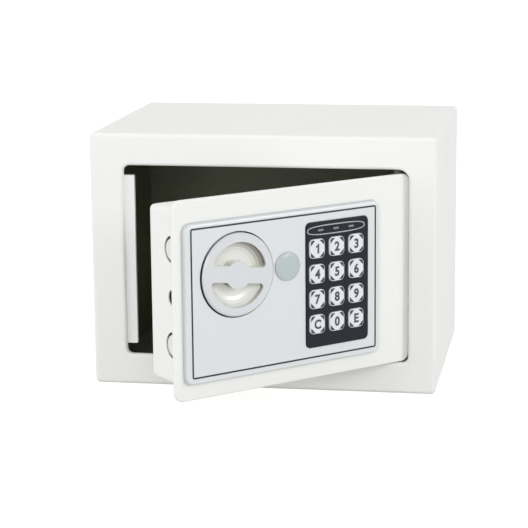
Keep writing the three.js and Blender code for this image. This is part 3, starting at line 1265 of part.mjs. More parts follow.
const safe = new THREE.Group();
safe.name = 'electronic_safe';
safe.add(
  piece('body_shell', bodyShell(), whiteEnamel),
  piece('back_panel', backPanel(), whiteEnamel),
  piece('strike_strip', strikeStrip(), whiteEnamel),
  piece('hinge_strip', hingeStrip(), whiteEnamel),
  piece('hinge_bracket_upper', hingeBracket(1), zincSteel),
  piece('hinge_bracket_lower', hingeBracket(-1), zincSteel),
  piece('floor_mat', floorMat(), greyFelt),
);

// The door's pieces are drawn closed, and the door group turns them about the hinge line
const door = new THREE.Group();
door.position.set(HINGE_X, HINGE_Y, 0);
door.rotation.z = THREE.MathUtils.degToRad(DOOR_AJAR_DEGREES);
const drawnClosed = new THREE.Group();
drawnClosed.position.set(-HINGE_X, -HINGE_Y, 0);
door.add(drawnClosed);
safe.add(door);

drawnClosed.add(
  piece('door_plate', doorPlate(), whiteEnamel),
  piece('door_pan', doorPan(), whiteEnamel),
  piece('hinge_pin_upper', hingePin(1), zincSteel),
  piece('hinge_pin_lower', hingePin(-1), zincSteel),
  piece('control_panel', controlPanel(), silverPlastic),
  piece('knob', knob(), satinSilver),
  piece('knob_spindle', knobSpindle(), zincSteel),
  piece('keyhole_cap', keyholeCap(), greyPlastic),
  piece('lock_cylinder', lockCylinder(), brassMetal),
  piece('lock_plug', lockPlug(), brassMetal),
  piece('keypad_plate', keypadPlate(), slatePlastic),
  piece('lamp_bar', lampBar(), smokedLens),
  piece('keypad_board', keypadBoard(), greenBoard),
  piece('bolt_plate', boltPlate(), zincSteel),
  piece('bolt_upper', bolt(1), brightSteel),
  piece('bolt_lower', bolt(-1), brightSteel),
  piece('solenoid', solenoid(), zincSteel),
  piece('solenoid_plunger', solenoidPlunger(), brightSteel),
  piece('solenoid_spring', solenoidSpring(), brightSteel),
  piece('inner_cover', innerCover(), whiteEnamel),
  piece('battery_tray', batteryTray(), blackPlastic),
  piece('battery_cover', batteryCover(), blackPlastic),
  piece('battery_contact_upper', batteryContact(1), brightSteel),
  piece('battery_contact_lower', batteryContact(-1), brightSteel),
  piece('reset_button', resetButton(), redPlastic),
  piece('reset_switch', resetSwitch(), blackPlastic),
);
keyPlaces().forEach(([name, x, z]) => {
  drawnClosed.add(piece(`key_${name}`, key(x, z), keyPlastic));
});
studPlaces().forEach((place, i) => {
  const name = i === 0 ? 'guide_stud_upper' : 'guide_stud_lower';
  drawnClosed.add(piece(name, guideStud(place), zincSteel));
});
panelScrewPlaces().forEach((place, i) => {
  drawnClosed.add(piece(`panel_screw_${i + 1}`, panelScrew(place), zincSteel));
});
coverScrewPlaces().forEach((place, i) => {
  drawnClosed.add(piece(`cover_screw_${i + 1}`, coverScrew(place), zincSteel));
});
batteryPlaces().forEach((x, i) => {
  const side = i % 2 === 0 ? 1 : -1;
  drawnClosed.add(piece(`battery_${i + 1}`, battery(x, side), batterySleeve));
});

export default safe;
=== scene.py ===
import math

import bmesh
import bpy
from mathutils import Matrix, Vector


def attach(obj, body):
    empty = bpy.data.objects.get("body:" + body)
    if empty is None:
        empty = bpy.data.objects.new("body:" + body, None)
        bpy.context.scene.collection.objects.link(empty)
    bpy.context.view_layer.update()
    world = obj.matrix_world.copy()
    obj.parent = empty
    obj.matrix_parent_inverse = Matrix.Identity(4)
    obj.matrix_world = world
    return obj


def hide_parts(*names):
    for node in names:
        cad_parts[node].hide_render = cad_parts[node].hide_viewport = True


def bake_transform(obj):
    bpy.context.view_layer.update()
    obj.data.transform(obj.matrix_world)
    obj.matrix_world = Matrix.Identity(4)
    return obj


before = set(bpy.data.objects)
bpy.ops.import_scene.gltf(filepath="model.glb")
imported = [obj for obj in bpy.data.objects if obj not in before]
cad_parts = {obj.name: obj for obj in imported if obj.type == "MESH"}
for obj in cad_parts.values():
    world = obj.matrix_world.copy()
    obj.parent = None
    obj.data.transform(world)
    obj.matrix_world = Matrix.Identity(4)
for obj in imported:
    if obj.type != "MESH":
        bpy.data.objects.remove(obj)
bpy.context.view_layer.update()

# Camera
# A long lens a little above the lid and to the right, rolled half a degree. Its focal
# length is in pixels of the picture, which is 528 pixels wide.
CAMERA_PLACE = (0.2155, -1.2932, 0.3388)
AZIMUTH = math.radians(10.033)
ELEVATION = math.radians(11.692)
ROLL = math.radians(-0.564)
FOCAL_PIXELS = 1904.96
PICTURE_PIXELS = 528
SENSOR_WIDTH = 36


def new_object(name, data):
    """An object in the scene that shows a mesh, a lamp, a camera or a text."""
    made = bpy.data.objects.new(name, data)
    bpy.context.scene.collection.objects.link(made)
    return made


back = Vector((
    math.sin(AZIMUTH) * math.cos(ELEVATION),
    -math.cos(AZIMUTH) * math.cos(ELEVATION),
    math.sin(ELEVATION),
))
right = Vector((0, 0, 1)).cross(back).normalized()
up = back.cross(right)
rolled_right = math.cos(ROLL) * right + math.sin(ROLL) * up
rolled_up = -math.sin(ROLL) * right + math.cos(ROLL) * up
camera = new_object("camera", bpy.data.cameras.new("camera"))
turn = Matrix((rolled_right, rolled_up, back)).transposed().to_4x4()
camera.matrix_world = Matrix.Translation(CAMERA_PLACE) @ turn
camera.data.sensor_fit = "HORIZONTAL"
camera.data.sensor_width = SENSOR_WIDTH
camera.data.lens = SENSOR_WIDTH * FOCAL_PIXELS / PICTURE_PIXELS
camera.data.clip_end = 50
bpy.context.scene.camera = camera
bpy.context.scene.view_settings.view_transform = "Standard"

# Studio
# A pale sweep under softboxes on the right, on the left, in front and above. The camera and
# mirror-like metal see the floor's paper as white, and it keeps the shadow of the safe.
WORLD_LIGHT = 0.55
PAPER_LIFT = 0.7
FLOOR_HALF_WIDTH = 8
LIT_MIDDLE = Vector((0, -0.05, 0.08))


def linear(code):
    """A colour written as sRGB hex, turned to linear light."""
    parts = [int(code[i:i + 2], 16) / 255 for i in (0, 2, 4)]
    parts = [p / 12.92 if p <= 0.04045 else ((p + 0.055) / 1.055) ** 2.4 for p in parts]
    return (*parts, 1.0)


def feed(fed, inputs):
    """Sets a node's sockets, each to a value, an output, or another node's first output."""
    for name, value in inputs.items():
        if isinstance(value, bpy.types.Node):
            value = next(output for output in value.outputs if output.enabled)
        if isinstance(value, bpy.types.NodeSocket):
            fed.id_data.links.new(value, fed.inputs[name])
        else:
            fed.inputs[name].default_value = value


def add_node(tree, kind, inputs=None, **settings):
    """Adds a node with its settings, and feeds its sockets."""
    added = tree.nodes.new("ShaderNode" + kind)
    for name, value in settings.items():
        setattr(added, name, value)
    feed(added, inputs or {})
    return added


def seen_directly(tree):
    """1 for what the camera, a mirror or glass sees, and 0 for the light on the object."""
    ray = add_node(tree, "LightPath")
    seen = add_node(tree, "Math", {
        0: ray.outputs["Is Camera Ray"], 1: ray.outputs["Is Glossy Ray"],
    }, operation="MAXIMUM")
    return add_node(tree, "Math", {0: seen, 1: ray.outputs["Is Transmission Ray"]},
                    operation="MAXIMUM")


world = bpy.data.worlds.new("studio")
bpy.context.scene.world = world
world.use_nodes = True
sky = world.node_tree
sky.nodes.clear()
level = add_node(sky, "MapRange", {
    "Value": seen_directly(sky), "To Min": WORLD_LIGHT, "To Max": 1.0,
})
glow = add_node(sky, "Background", {"Color": (1, 1, 1, 1), "Strength": level})
add_node(sky, "OutputWorld", {"Surface": glow})

paper = bpy.data.materials.new("white_paper")
paper.use_nodes = True
tree = paper.node_tree
tree.nodes.clear()
matt = add_node(tree, "BsdfDiffuse", {"Color": linear("CDCDCB")})
lift = add_node(tree, "Math", {0: seen_directly(tree), 1: PAPER_LIFT}, operation="MULTIPLY")
lifted = add_node(tree, "Emission", {"Color": (1, 1, 1, 1), "Strength": lift})
both = add_node(tree, "AddShader", {0: matt, 1: lifted})
add_node(tree, "OutputMaterial", {"Surface": both})

sheet = bmesh.new()
bmesh.ops.create_grid(sheet, x_segments=1, y_segments=1, size=FLOOR_HALF_WIDTH)
floor_mesh = bpy.data.meshes.new("studio_floor")
sheet.to_mesh(floor_mesh)
sheet.free()
floor = new_object("studio_floor", floor_mesh)
floor_mesh.materials.append(paper)

for name, place, size, watts in (
    ("light_right", (2.68, -0.87, 1.03), 0.9, 24),
    ("light_left", (-2.4, -1.56, 0.9), 1.8, 25),
    ("light_front", (0.3, -3.0, 0.95), 1.6, 25),
    ("light_above", (-0.25, 0.85, 2.25), 1.4, 8.5),
):
    lamp = bpy.data.lights.new(name, "AREA")
    lamp.size = size
    lamp.energy = watts
    light = new_object(name, lamp)
    light.location = place
    light.rotation_euler = (LIT_MIDDLE - Vector(place)).to_track_quat("-Z", "Y").to_euler()

# Cabinet: wrap, front frame, back, strike strip and hinge strip
# Folded 1.5 mm sheet steel, welded, and coated with white baked powder. The powder flows
# out to a faint orange peel about 1.5 mm across, with a soft sheen. Behind the opening's
# coated lip the inside is coloured a mottled dark grey-brown, and the open cabinet looks
# almost black.
SHARP_EDGE = math.radians(40)
COAT_WHITES = ("F1F2F0", "EEEFEC")
COAT_DRIFT = 1 / 9
COAT_PEEL = 0.0015
COAT_ROUGHNESS = 0.46
INSIDE_BROWNS = ("85856E", "7A7A64")
INSIDE_CLOUD = 1 / 60
WRAP_INSIDE = ((-0.1139, 0.1139), (-0.0838, 0.09), (0.0011, 0.1689))
OPENING_LIP = ((-0.0939, 0.0987), (-0.09, -0.076), (0.0193, 0.1505))
BACK_INSIDE = (0.08, 0.0842)
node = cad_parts


def new_material(name, **sockets):
    """A material with one Principled shader, whose sockets are set directly."""
    material = bpy.data.materials.new(name)
    material.use_nodes = True
    tree = material.node_tree
    tree.nodes.clear()
    shader = add_node(tree, "BsdfPrincipled", {
        key.replace("_", " ").title().replace("Ior", "IOR"): value
        for key, value in sockets.items()
    })
    add_node(tree, "OutputMaterial", {"Surface": shader})
    return material, tree, shader


def cover(mesh, material):
    """Gives a mesh its material, and smooth shading up to its real edges."""
    mesh.materials.clear()
    mesh.materials.append(material)
    mesh.set_sharp_from_angle(angle=SHARP_EDGE)
    for face in mesh.polygons:
        face.use_smooth = True


def dress(names, material):
    """Gives CAD nodes their material."""
    for name in names:
        cover(node[name].data, material)
        even = node[name].modifiers.new("even_shading", "WEIGHTED_NORMAL")
        even.keep_sharp = True


def mottle(tree, place, grain, detail, colours):
    """Noise whose patches have a real size, in metres, and a colour that follows it."""
    noise = add_node(tree, "TexNoise", {"Vector": place, "Scale": 1 / grain, "Detail": detail})
    one, other = colours
    tint = add_node(tree, "Mix", {0: noise, 6: linear(one), 7: linear(other)},
                    data_type="RGBA")
    return noise, tint


def powder_coat(name):
    """White powder coat: a little colour drift over the sheet, orange peel in the gloss."""
    material, tree, shader = new_material(name, roughness=COAT_ROUGHNESS, ior=1.5)
    place = add_node(tree, "TexCoord").outputs["Object"]
    _, white = mottle(tree, place, grain=COAT_DRIFT, detail=2.0, colours=COAT_WHITES)
    peel = add_node(tree, "TexNoise", {"Vector": place, "Scale": 1 / COAT_PEEL, "Detail": 2.5})
    gloss = add_node(tree, "MapRange", {
        "Value": peel, "To Min": COAT_ROUGHNESS - 0.06, "To Max": COAT_ROUGHNESS + 0.08,
    })
    bump = add_node(tree, "Bump", {"Strength": 0.18, "Distance": 0.00008, "Height": peel})
    feed(shader, {"Base Color": white, "Roughness": gloss, "Normal": bump})
    return material, tree, shader, place, white


def where_all(tree, *masks):
    """A mask that is 1 where each of the masks is 1."""
    shared = masks[0]
    for mask in masks[1:]:
        shared = add_node(tree, "Math", {0: shared, 1: mask}, operation="MULTIPLY")
    return shared


def between(tree, value, low, high):
    """1 where a coordinate lies between two limits, in metres."""
    over_low = add_node(tree, "Math", {0: value, 1: low}, operation="GREATER_THAN")
    under_high = add_node(tree, "Math", {0: value, 1: high}, operation="LESS_THAN")
    return where_all(tree, over_low, under_high)


def in_box(tree, axis, spans):
    """1 within a box, given by its two limits on each of X, Y and Z, in metres."""
    return where_all(tree, *(
        between(tree, axis.outputs[letter], *span) for letter, span in zip("XYZ", spans)
    ))


def colour_inside_brown(tree, shader, place, white, where):
    """Colours the surface a mottled dark grey-brown where a mask is 1."""
    _, inside_brown = mottle(tree, place, grain=INSIDE_CLOUD, detail=4.0, colours=INSIDE_BROWNS)
    skin = add_node(tree, "Mix", {0: where, 6: white, 7: inside_brown}, data_type="RGBA")
    feed(shader, {"Base Color": skin})


white_coat, *_ = powder_coat("white_powder_coat")

coated_shell, tree, shader, place, white = powder_coat("coated_cabinet_steel")
axis = add_node(tree, "SeparateXYZ", {0: place})
hollow = in_box(tree, axis, WRAP_INSIDE)
lip = in_box(tree, axis, OPENING_LIP)
# The inside of the wrap, less the opening's lip, is coloured dark grey-brown.
brown_inside = add_node(tree, "Math", {0: hollow, 1: lip}, operation="SUBTRACT", use_clamp=True)
colour_inside_brown(tree, shader, place, white, brown_inside)
dress(["body_shell"], coated_shell)

coated_back, tree, shader, place, white = powder_coat("coated_back_steel")
axis = add_node(tree, "SeparateXYZ", {0: place})
brown_inside = between(tree, axis.outputs["Y"], *BACK_INSIDE)
colour_inside_brown(tree, shader, place, white, brown_inside)
dress(["back_panel"], coated_back)
dress(["strike_strip", "hinge_strip"], white_coat)

# Floor mat
# Needled polyester felt, cut square and laid loose. It scatters light, so it stays dark
# and even, with short fibres about 0.6 mm apart.


def mottled(name, grain, detail, colours, relief=None, **sockets):
    """A material in two close tones, with patches of a real size, in metres.

    A relief is a bump over the same patches, given by its strength and height.
    """
    material, tree, shader = new_material(name, **sockets)
    place = add_node(tree, "TexCoord").outputs["Object"]
    noise, tint = mottle(tree, place, grain, detail, colours)
    feed(shader, {"Base Color": tint})
    if relief:
        strength, height = relief
        bump = add_node(tree, "Bump", {
            "Strength": strength, "Distance": height, "Height": noise,
        })
        feed(shader, {"Normal": bump})
    return material


felt = mottled(
    "dark_felt", grain=0.0006, detail=5.0, colours=("2A2A27", "3C3C37"),
    relief=(0.8, 0.0004), roughness=0.95, sheen_weight=0.3,
)
dress(["floor_mat"], felt)

# Hinge brackets and pins
# Steel, fitted before the coating. They are coloured a dark grey-brown in blotches about
# 3 mm across, as painted shade of the gap behind the front frame.
shaded_steel = mottled(
    "painted_shade_steel", grain=0.003, detail=3.0, colours=("4A4A40", "57574B"), roughness=0.5,
)
dress([
    "hinge_bracket_upper", "hinge_bracket_lower", "hinge_pin_upper", "hinge_pin_lower",
], shaded_steel)

# Bolt plate, screws, studs, solenoid and spindle
# Steel, bright zinc plated after forming. Zinc is a soft grey metal whose grains of a few
# millimetres drift in tone, with scratches from barrel plating, drawn 0.4 mm apart here.
ZINC_GRAIN = 0.004
ZINC_SCRATCH = 0.0004
zinc, tree, shader = new_material("zinc_plated_steel", metallic=1.0, roughness=0.36)
place = add_node(tree, "TexCoord").outputs["Object"]
_, tint = mottle(tree, place, grain=ZINC_GRAIN, detail=3.0, colours=("C2C4C5", "CFD0CF"))
scratch = add_node(tree, "TexNoise", {
    "Vector": place, "Scale": 1 / ZINC_SCRATCH, "Detail": 2.0,
})
gloss = add_node(tree, "MapRange", {"Value": scratch, "To Min": 0.28, "To Max": 0.46})
feed(shader, {"Base Color": tint, "Roughness": gloss})
dress([
    "knob_spindle", "bolt_plate", "guide_stud_upper", "guide_stud_lower", "solenoid",
    *(f"panel_screw_{i}" for i in range(1, 5)), *(f"cover_screw_{i}" for i in range(1, 5)),
], zinc)

# Door plate, pan and rear cover
# The 3 mm front plate and the pan welded behind it carry the same powder coat as the
# cabinet, sprayed after welding. The pan's hollow inside is painted dark as shade.
DOOR_ANGLE = math.radians(44)
HINGE = Vector((0.089, -0.079, 0))
PAN_SKIN = 0.0008
PAN_CORNER = 0.0035
PAN_REAR_EDGE = 0.005
PAN_PAINTED_SHADE = "3A3B38"


def closed_box(name):
    """The low and high corner that a door piece has with the door closed."""
    turn = Matrix.Rotation(-DOOR_ANGLE, 4, "Z")
    spots = [turn @ (node[name].matrix_world @ v.co - HINGE) + HINGE
             for v in node[name].data.vertices]
    low = Vector(min(spot[i] for spot in spots) for i in range(3))
    high = Vector(max(spot[i] for spot in spots) for i in range(3))
    return low, high


def closed_door(tree):
    """Coordinates of the closed door, and those of the model, fixed to the piece."""
    place = add_node(tree, "TexCoord").outputs["Object"]
    turned = add_node(tree, "VectorRotate", {
        "Vector": place, "Center": tuple(HINGE), "Angle": -DOOR_ANGLE,
    }, rotation_type="Z_AXIS")
    return add_node(tree, "SeparateXYZ", {0: turned}), place


def past(tree, value, middle, half=0.0):
    """How far a coordinate lies past a point, or outside a span, where it has one."""
    far = add_node(tree, "Math", {0: value, 1: middle}, operation="SUBTRACT")
    if half:
        far = add_node(tree, "Math", {0: far}, operation="ABSOLUTE")
        far = add_node(tree, "Math", {0: far, 1: half}, operation="SUBTRACT")
    return far


def distance(tree, first, second):
    """The length of two offsets at a right angle."""
    spot = add_node(tree, "CombineXYZ", {0: first, 1: second})
    return add_node(tree, "VectorMath", {0: spot}, operation="LENGTH")


def rounded_edge(tree, first, second, radius):
    """How far a point lies outside the rounded edge between two faces."""
    a = add_node(tree, "Math", {0: first, 1: radius}, operation="ADD")
    b = add_node(tree, "Math", {0: second, 1: radius}, operation="ADD")
    out_a = add_node(tree, "Math", {0: a, 1: 0.0}, operation="MAXIMUM")
    out_b = add_node(tree, "Math", {0: b, 1: 0.0}, operation="MAXIMUM")
    into = add_node(tree, "Math", {0: a, 1: b}, operation="MAXIMUM")
    into = add_node(tree, "Math", {0: into, 1: 0.0}, operation="MINIMUM")
    far = add_node(tree, "Math", {0: distance(tree, out_a, out_b), 1: into}, operation="ADD")
    return add_node(tree, "Math", {0: far, 1: radius}, operation="SUBTRACT")


dress(["door_plate", "inner_cover"], white_coat)

low, high = closed_box("door_pan")
middle, half = (low + high) / 2, (high - low) / 2
coated_pan, tree, shader, place, white = powder_coat("coated_pan_steel")
axis, _ = closed_door(tree)
outline = rounded_edge(
    tree,
    past(tree, axis.outputs["X"], middle.x, half.x),
    past(tree, axis.outputs["Z"], middle.z, half.z),
    PAN_CORNER,
)
skin_depth = rounded_edge(tree, outline, past(tree, axis.outputs["Y"], high.y), PAN_REAR_EDGE)
hollow = add_node(tree, "Math", {0: skin_depth, 1: -PAN_SKIN}, operation="LESS_THAN")
# Painted shade: inside the pan's skin the colour is dark.
skin = add_node(tree, "Mix", {0: hollow, 6: white, 7: linear(PAN_PAINTED_SHADE)}, data_type="RGBA")
feed(shader, {"Base Color": skin})
dress(["door_pan"], coated_pan)

# Bolts, plunger and battery contacts
# Bright steel. The bolts are two turned 16 mm rods. The lathe leaves fine rings on their
# ends, 0.5 mm apart here so that they show; painted shade darkens the ends' edges and sides.
RING_PITCH = 0.0005
BOLT_SHADE_FROM = 0.0062
BOLT_SHADE_TO = 0.0072
BOLT_RIM_SHADE = "55575A"
plate_low, plate_high = closed_box("door_plate")
DOOR_MIDDLE = (plate_low.z + plate_high.z) / 2
low, high = closed_box("bolt_upper")
turned_steel, tree, shader = new_material("turned_steel", metallic=1.0, roughness=0.3)
axis, place = closed_door(tree)
radius = distance(
    tree,
    past(tree, axis.outputs["Z"], DOOR_MIDDLE, (low.z + high.z) / 2 - DOOR_MIDDLE),
    past(tree, axis.outputs["Y"], (low.y + high.y) / 2),
)
rings = add_node(tree, "Math", {0: radius, 1: 2 * math.pi / RING_PITCH}, operation="MULTIPLY")
rings = add_node(tree, "Math", {0: rings}, operation="SINE")
tone = add_node(tree, "MapRange", {
    "Value": rings, "From Min": -1.0, "To Min": 0.25, "To Max": 0.38,
})
_, tint = mottle(tree, place, grain=0.003, detail=2.0, colours=("C9CACB", "D4D5D5"))
# Painted shade, darkest on the ends' edges and the sides.
rim_shade = add_node(tree, "MapRange", {
    "Value": radius, "From Min": BOLT_SHADE_FROM, "From Max": BOLT_SHADE_TO,
})
shaded_tint = add_node(tree, "Mix", {0: rim_shade, 6: tint, 7: linear(BOLT_RIM_SHADE)}, data_type="RGBA")
feed(shader, {"Base Color": shaded_tint, "Roughness": tone})
dress([
    "bolt_upper", "bolt_lower", "solenoid_plunger",
    "battery_contact_upper", "battery_contact_lower",
], turned_steel)

# Plunger spring
# A helix of steel wire round the plunger, between the solenoid's frame and the plunger's
# collar. The real one closes up as the plunger draws back; this is a fixed copy of the CAD
# spring.
spring = new_object("plunger_spring", node["solenoid_spring"].data.copy())
spring.matrix_world = node["solenoid_spring"].matrix_world.copy()
bpy.context.view_layer.update()
cover(spring.data, turned_steel)
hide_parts("solenoid_spring")
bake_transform(spring)

# Control panel
# A moulded ABS shell, sprayed with silver lacquer. Its flakes, drawn 0.3 mm across, give a
# satin grey that shifts from speck to speck. The groove round it is filled with dark paint.
# Painted shade darkens the shell's sides towards the back, and the knob's cup below its lip.
GROOVE_WIDTH = 0.1384
GROOVE_HEIGHT = 0.092
GROOVE_CORNER = 0.001
GROOVE_LINE = 0.00114
GROOVE_ABOVE_MIDDLE = 0.0006
GROOVE_PAINT = "33363B"
SIDES_PAST_GROOVE = 0.002
SIDES_BEHIND_FACE = 0.0004
SIDES_SHADE_MOST = 0.9
PANEL_SIDE_SHADE = "8E9193"
CUP_RADIUS = 0.0273
CUP_UNSHADED_DEPTH = 0.002
CUP_PAINTED_SHADE = "17181A"
LACQUER_FLAKE = 0.0003
knob_low, knob_high = closed_box("knob")
KNOB_X = (knob_low.x + knob_high.x) / 2
KNOB_Z = (knob_low.z + knob_high.z) / 2
low, high = closed_box("control_panel")
PANEL_X = (low.x + high.x) / 2
GROOVE_Z = (low.z + high.z) / 2 + GROOVE_ABOVE_MIDDLE


def from_knob(tree, axis):
    """How far a point lies from the knob's axis."""
    return distance(
        tree,
        past(tree, axis.outputs["X"], KNOB_X),
        past(tree, axis.outputs["Z"], KNOB_Z),
    )


silver, tree, shader = new_material("silver_lacquered_abs", metallic=0.12, roughness=0.36)
axis, place = closed_door(tree)
flake, tint = mottle(tree, place, grain=LACQUER_FLAKE, detail=2.0,
                     colours=("D6D9DB", "DEE1E3"))
groove = rounded_edge(
    tree,
    past(tree, axis.outputs["X"], PANEL_X, GROOVE_WIDTH / 2),
    past(tree, axis.outputs["Z"], GROOVE_Z, GROOVE_HEIGHT / 2),
    GROOVE_CORNER,
)
from_groove = add_node(tree, "Math", {0: groove}, operation="ABSOLUTE")
line = add_node(tree, "Math", {0: from_groove, 1: GROOVE_LINE / 2}, operation="LESS_THAN")
painted = add_node(tree, "Mix", {0: line, 6: tint, 7: linear(GROOVE_PAINT)}, data_type="RGBA")
# Painted shade: the knob's cup is dark below its lip.
near_knob = add_node(tree, "Math", {0: from_knob(tree, axis), 1: CUP_RADIUS},
                     operation="LESS_THAN")
sunk = add_node(tree, "Math", {0: axis.outputs["Y"], 1: low.y + CUP_UNSHADED_DEPTH},
                operation="GREATER_THAN")
shaded_cup = where_all(tree, near_knob, sunk)
painted = add_node(tree, "Mix", {0: shaded_cup, 6: painted, 7: linear(CUP_PAINTED_SHADE)},
                   data_type="RGBA")
# Painted shade: the shell's sides darken towards the back.
outer = add_node(tree, "Math", {0: groove, 1: SIDES_PAST_GROOVE}, operation="GREATER_THAN")
side_shading = add_node(tree, "MapRange", {
    "Value": axis.outputs["Y"], "From Min": low.y + SIDES_BEHIND_FACE, "From Max": high.y,
    "To Max": SIDES_SHADE_MOST,
})
shaded_sides = where_all(tree, outer, side_shading)
painted = add_node(tree, "Mix", {0: shaded_sides, 6: painted, 7: linear(PANEL_SIDE_SHADE)},
                   data_type="RGBA")
gloss = add_node(tree, "MapRange", {"Value": flake, "To Min": 0.3, "To Max": 0.44})
feed(shader, {"Base Color": painted, "Roughness": gloss})
dress(["control_panel"], silver)

# Knob
# Moulded plastic, sprayed in front: satin silver on the face, and a white base coat in the
# recesses. The recesses' walls that face away from a light above on the hinge side get a
# painted tan shade, and the knob's side gets a dark painted shade there.
KNOB_FACE = knob_low.y
KNOB_BOWL_RADIUS = 0.0208
KNOB_SIDE_RADIUS = 0.0255
KNOB_SILVER_DEPTH = 0.0006
KNOB_WHITE_DEPTH = 0.002
BASE_COAT_WHITE = "E4E5DF"
KNOB_TAN_SHADE = "7D7465"
KNOB_SIDE_SHADE = "1E1C1A"
SHADE_LIGHT_DIRECTION = (0.6, -0.55, 0.58)
LIT_FACING = 0.42
SHADED_FACING = -0.5


def on_door(x, y, z):
    """Where a point of the closed door is with the door ajar."""
    turned = Matrix.Rotation(DOOR_ANGLE, 4, "Z") @ (Vector((x, y, z)) - HINGE)
    return turned + HINGE


satin, tree, shader = new_material("satin_silver_plastic", metallic=0.08, roughness=0.32)
axis, place = closed_door(tree)
_, tint = mottle(tree, place, grain=0.0004, detail=2.0, colours=("D2D5D8", "D9DBDE"))
radius = from_knob(tree, axis)
in_bowl = add_node(tree, "Math", {0: radius, 1: KNOB_BOWL_RADIUS}, operation="LESS_THAN")
on_side = add_node(tree, "Math", {0: radius, 1: KNOB_SIDE_RADIUS}, operation="GREATER_THAN")
sunk = add_node(tree, "MapRange", {
    "Value": axis.outputs["Y"],
    "From Min": KNOB_FACE + KNOB_SILVER_DEPTH, "From Max": KNOB_FACE + KNOB_WHITE_DEPTH,
})
# Painted shade: walls facing away from a light above on the hinge side turn tan, the side
# dark.
light_way = on_door(*SHADE_LIGHT_DIRECTION) - on_door(0, 0, 0)
toward_light = add_node(tree, "VectorMath", {
    0: add_node(tree, "TexCoord").outputs["Normal"], 1: tuple(light_way),
}, operation="DOT_PRODUCT")
faces_away = add_node(tree, "MapRange", {
    "Value": toward_light, "From Min": LIT_FACING, "From Max": SHADED_FACING,
}, interpolation_type="SMOOTHSTEP")
bowl_shade = add_node(tree, "Mix", {
    0: faces_away, 6: linear(BASE_COAT_WHITE), 7: linear(KNOB_TAN_SHADE),
}, data_type="RGBA")
shaded_knob = add_node(tree, "Mix", {
    0: where_all(tree, in_bowl, sunk), 6: tint, 7: bowl_shade,
}, data_type="RGBA")
shaded_knob = add_node(tree, "Mix", {
    0: where_all(tree, on_side, sunk, faces_away), 6: shaded_knob, 7: linear(KNOB_SIDE_SHADE),
}, data_type="RGBA")
feed(shader, {"Base Color": shaded_knob})
dress(["knob"], satin)

# Keyhole cap
# A small domed cap of grey-green ABS that snaps in over the emergency keyhole. It is
# moulded with a fine satin texture, drawn 0.3 mm across.
cap_plastic = mottled(
    "grey_green_abs", grain=0.0003, detail=2.0, colours=("B4BEC0", "BDC7C8"),
    relief=(0.15, 0.00005), roughness=0.24, ior=1.53,
)
dress(["keyhole_cap"], cap_plastic)

# Emergency lock
# Barrel and plug are turned from brass and left bare, so they have tarnished a little
# unevenly, in stains about 4 mm across.
brass = mottled(
    "turned_brass", grain=0.004, detail=4.0, colours=("B8964F", "A5833F"),
    metallic=1.0, roughness=0.3,
)
dress(["lock_cylinder", "lock_plug"], brass)

# Keypad plate and indicator windows
# A slate-grey ABS plate with a fine spark-eroded texture, drawn 0.3 mm across. A thin pale
# oval is printed round the bar of smoked acrylic with the three indicator windows.
OVAL_OUTER = (0.0446, 0.0064)
OVAL_INNER = (0.0432, 0.0050)
OVAL_SQUARENESS = 3.0
OVAL_POINTS = 72
PRINT_THICKNESS = 0.00008
PRINT_SUNK = 0.00002
slate = mottled(
    "slate_abs", grain=0.0003, detail=3.0, colours=("151B22", "1C222A"),
    relief=(0.25, 0.00006), roughness=0.42, specular_ior_level=0.18,
)
dress(["keypad_plate"], slate)

lens = mottled(
    "smoked_acrylic", grain=0.001, detail=2.0, colours=("747A81", "868C92"),
    roughness=0.2, ior=1.49,
)
dress(["lamp_bar"], lens)

print_grey = mottled(
    "pale_grey_print", grain=0.0005, detail=2.0, colours=("A2A6AC", "B4B8BD"),
    roughness=0.45,
)


def flat_oval(width, height, x, z):
    """Points of an oval between an ellipse and a rectangle."""
    points = []
    for i in range(OVAL_POINTS):
        angle = 2 * math.pi * i / OVAL_POINTS
        c, s = math.cos(angle), math.sin(angle)
        points.append((
            x + width / 2 * math.copysign(abs(c) ** (2 / OVAL_SQUARENESS), c),
            z + height / 2 * math.copysign(abs(s) ** (2 / OVAL_SQUARENESS), s),
        ))
    return points


def flat_ring(name, outer, inner, face, material):
    """A printed line between two closed outlines of (x, z) points on the door's face."""
    shape = bmesh.new()
    layers = []
    for y in (face, face - PRINT_THICKNESS):
        layers.append([
            [shape.verts.new(on_door(x, y, z)) for x, z in outline]
            for outline in (outer, inner)
        ])
    (low_out, low_in), (top_out, top_in) = layers
    for i in range(len(outer)):
        j = (i + 1) % len(outer)
        shape.faces.new((top_out[i], top_out[j], top_in[j], top_in[i]))
        shape.faces.new((low_out[i], low_in[i], low_in[j], low_out[j]))
        shape.faces.new((low_out[i], low_out[j], top_out[j], top_out[i]))
        shape.faces.new((low_in[i], top_in[i], top_in[j], low_in[j]))
    bmesh.ops.recalc_face_normals(shape, faces=shape.faces)
    mesh = bpy.data.meshes.new(name)
    shape.to_mesh(mesh)
    shape.free()
    mesh.materials.append(material)
    return new_object(name, mesh)


low, high = closed_box("lamp_bar")
LAMP_X = (low.x + high.x) / 2
LAMP_Z = (low.z + high.z) / 2
KEYPAD_FACE = closed_box("keypad_plate")[0].y
oval = flat_ring(
    "lamp_oval",
    flat_oval(*OVAL_OUTER, LAMP_X, LAMP_Z),
    flat_oval(*OVAL_INNER, LAMP_X, LAMP_Z),
    KEYPAD_FACE + PRINT_SUNK, print_grey,
)
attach(oval, "door")

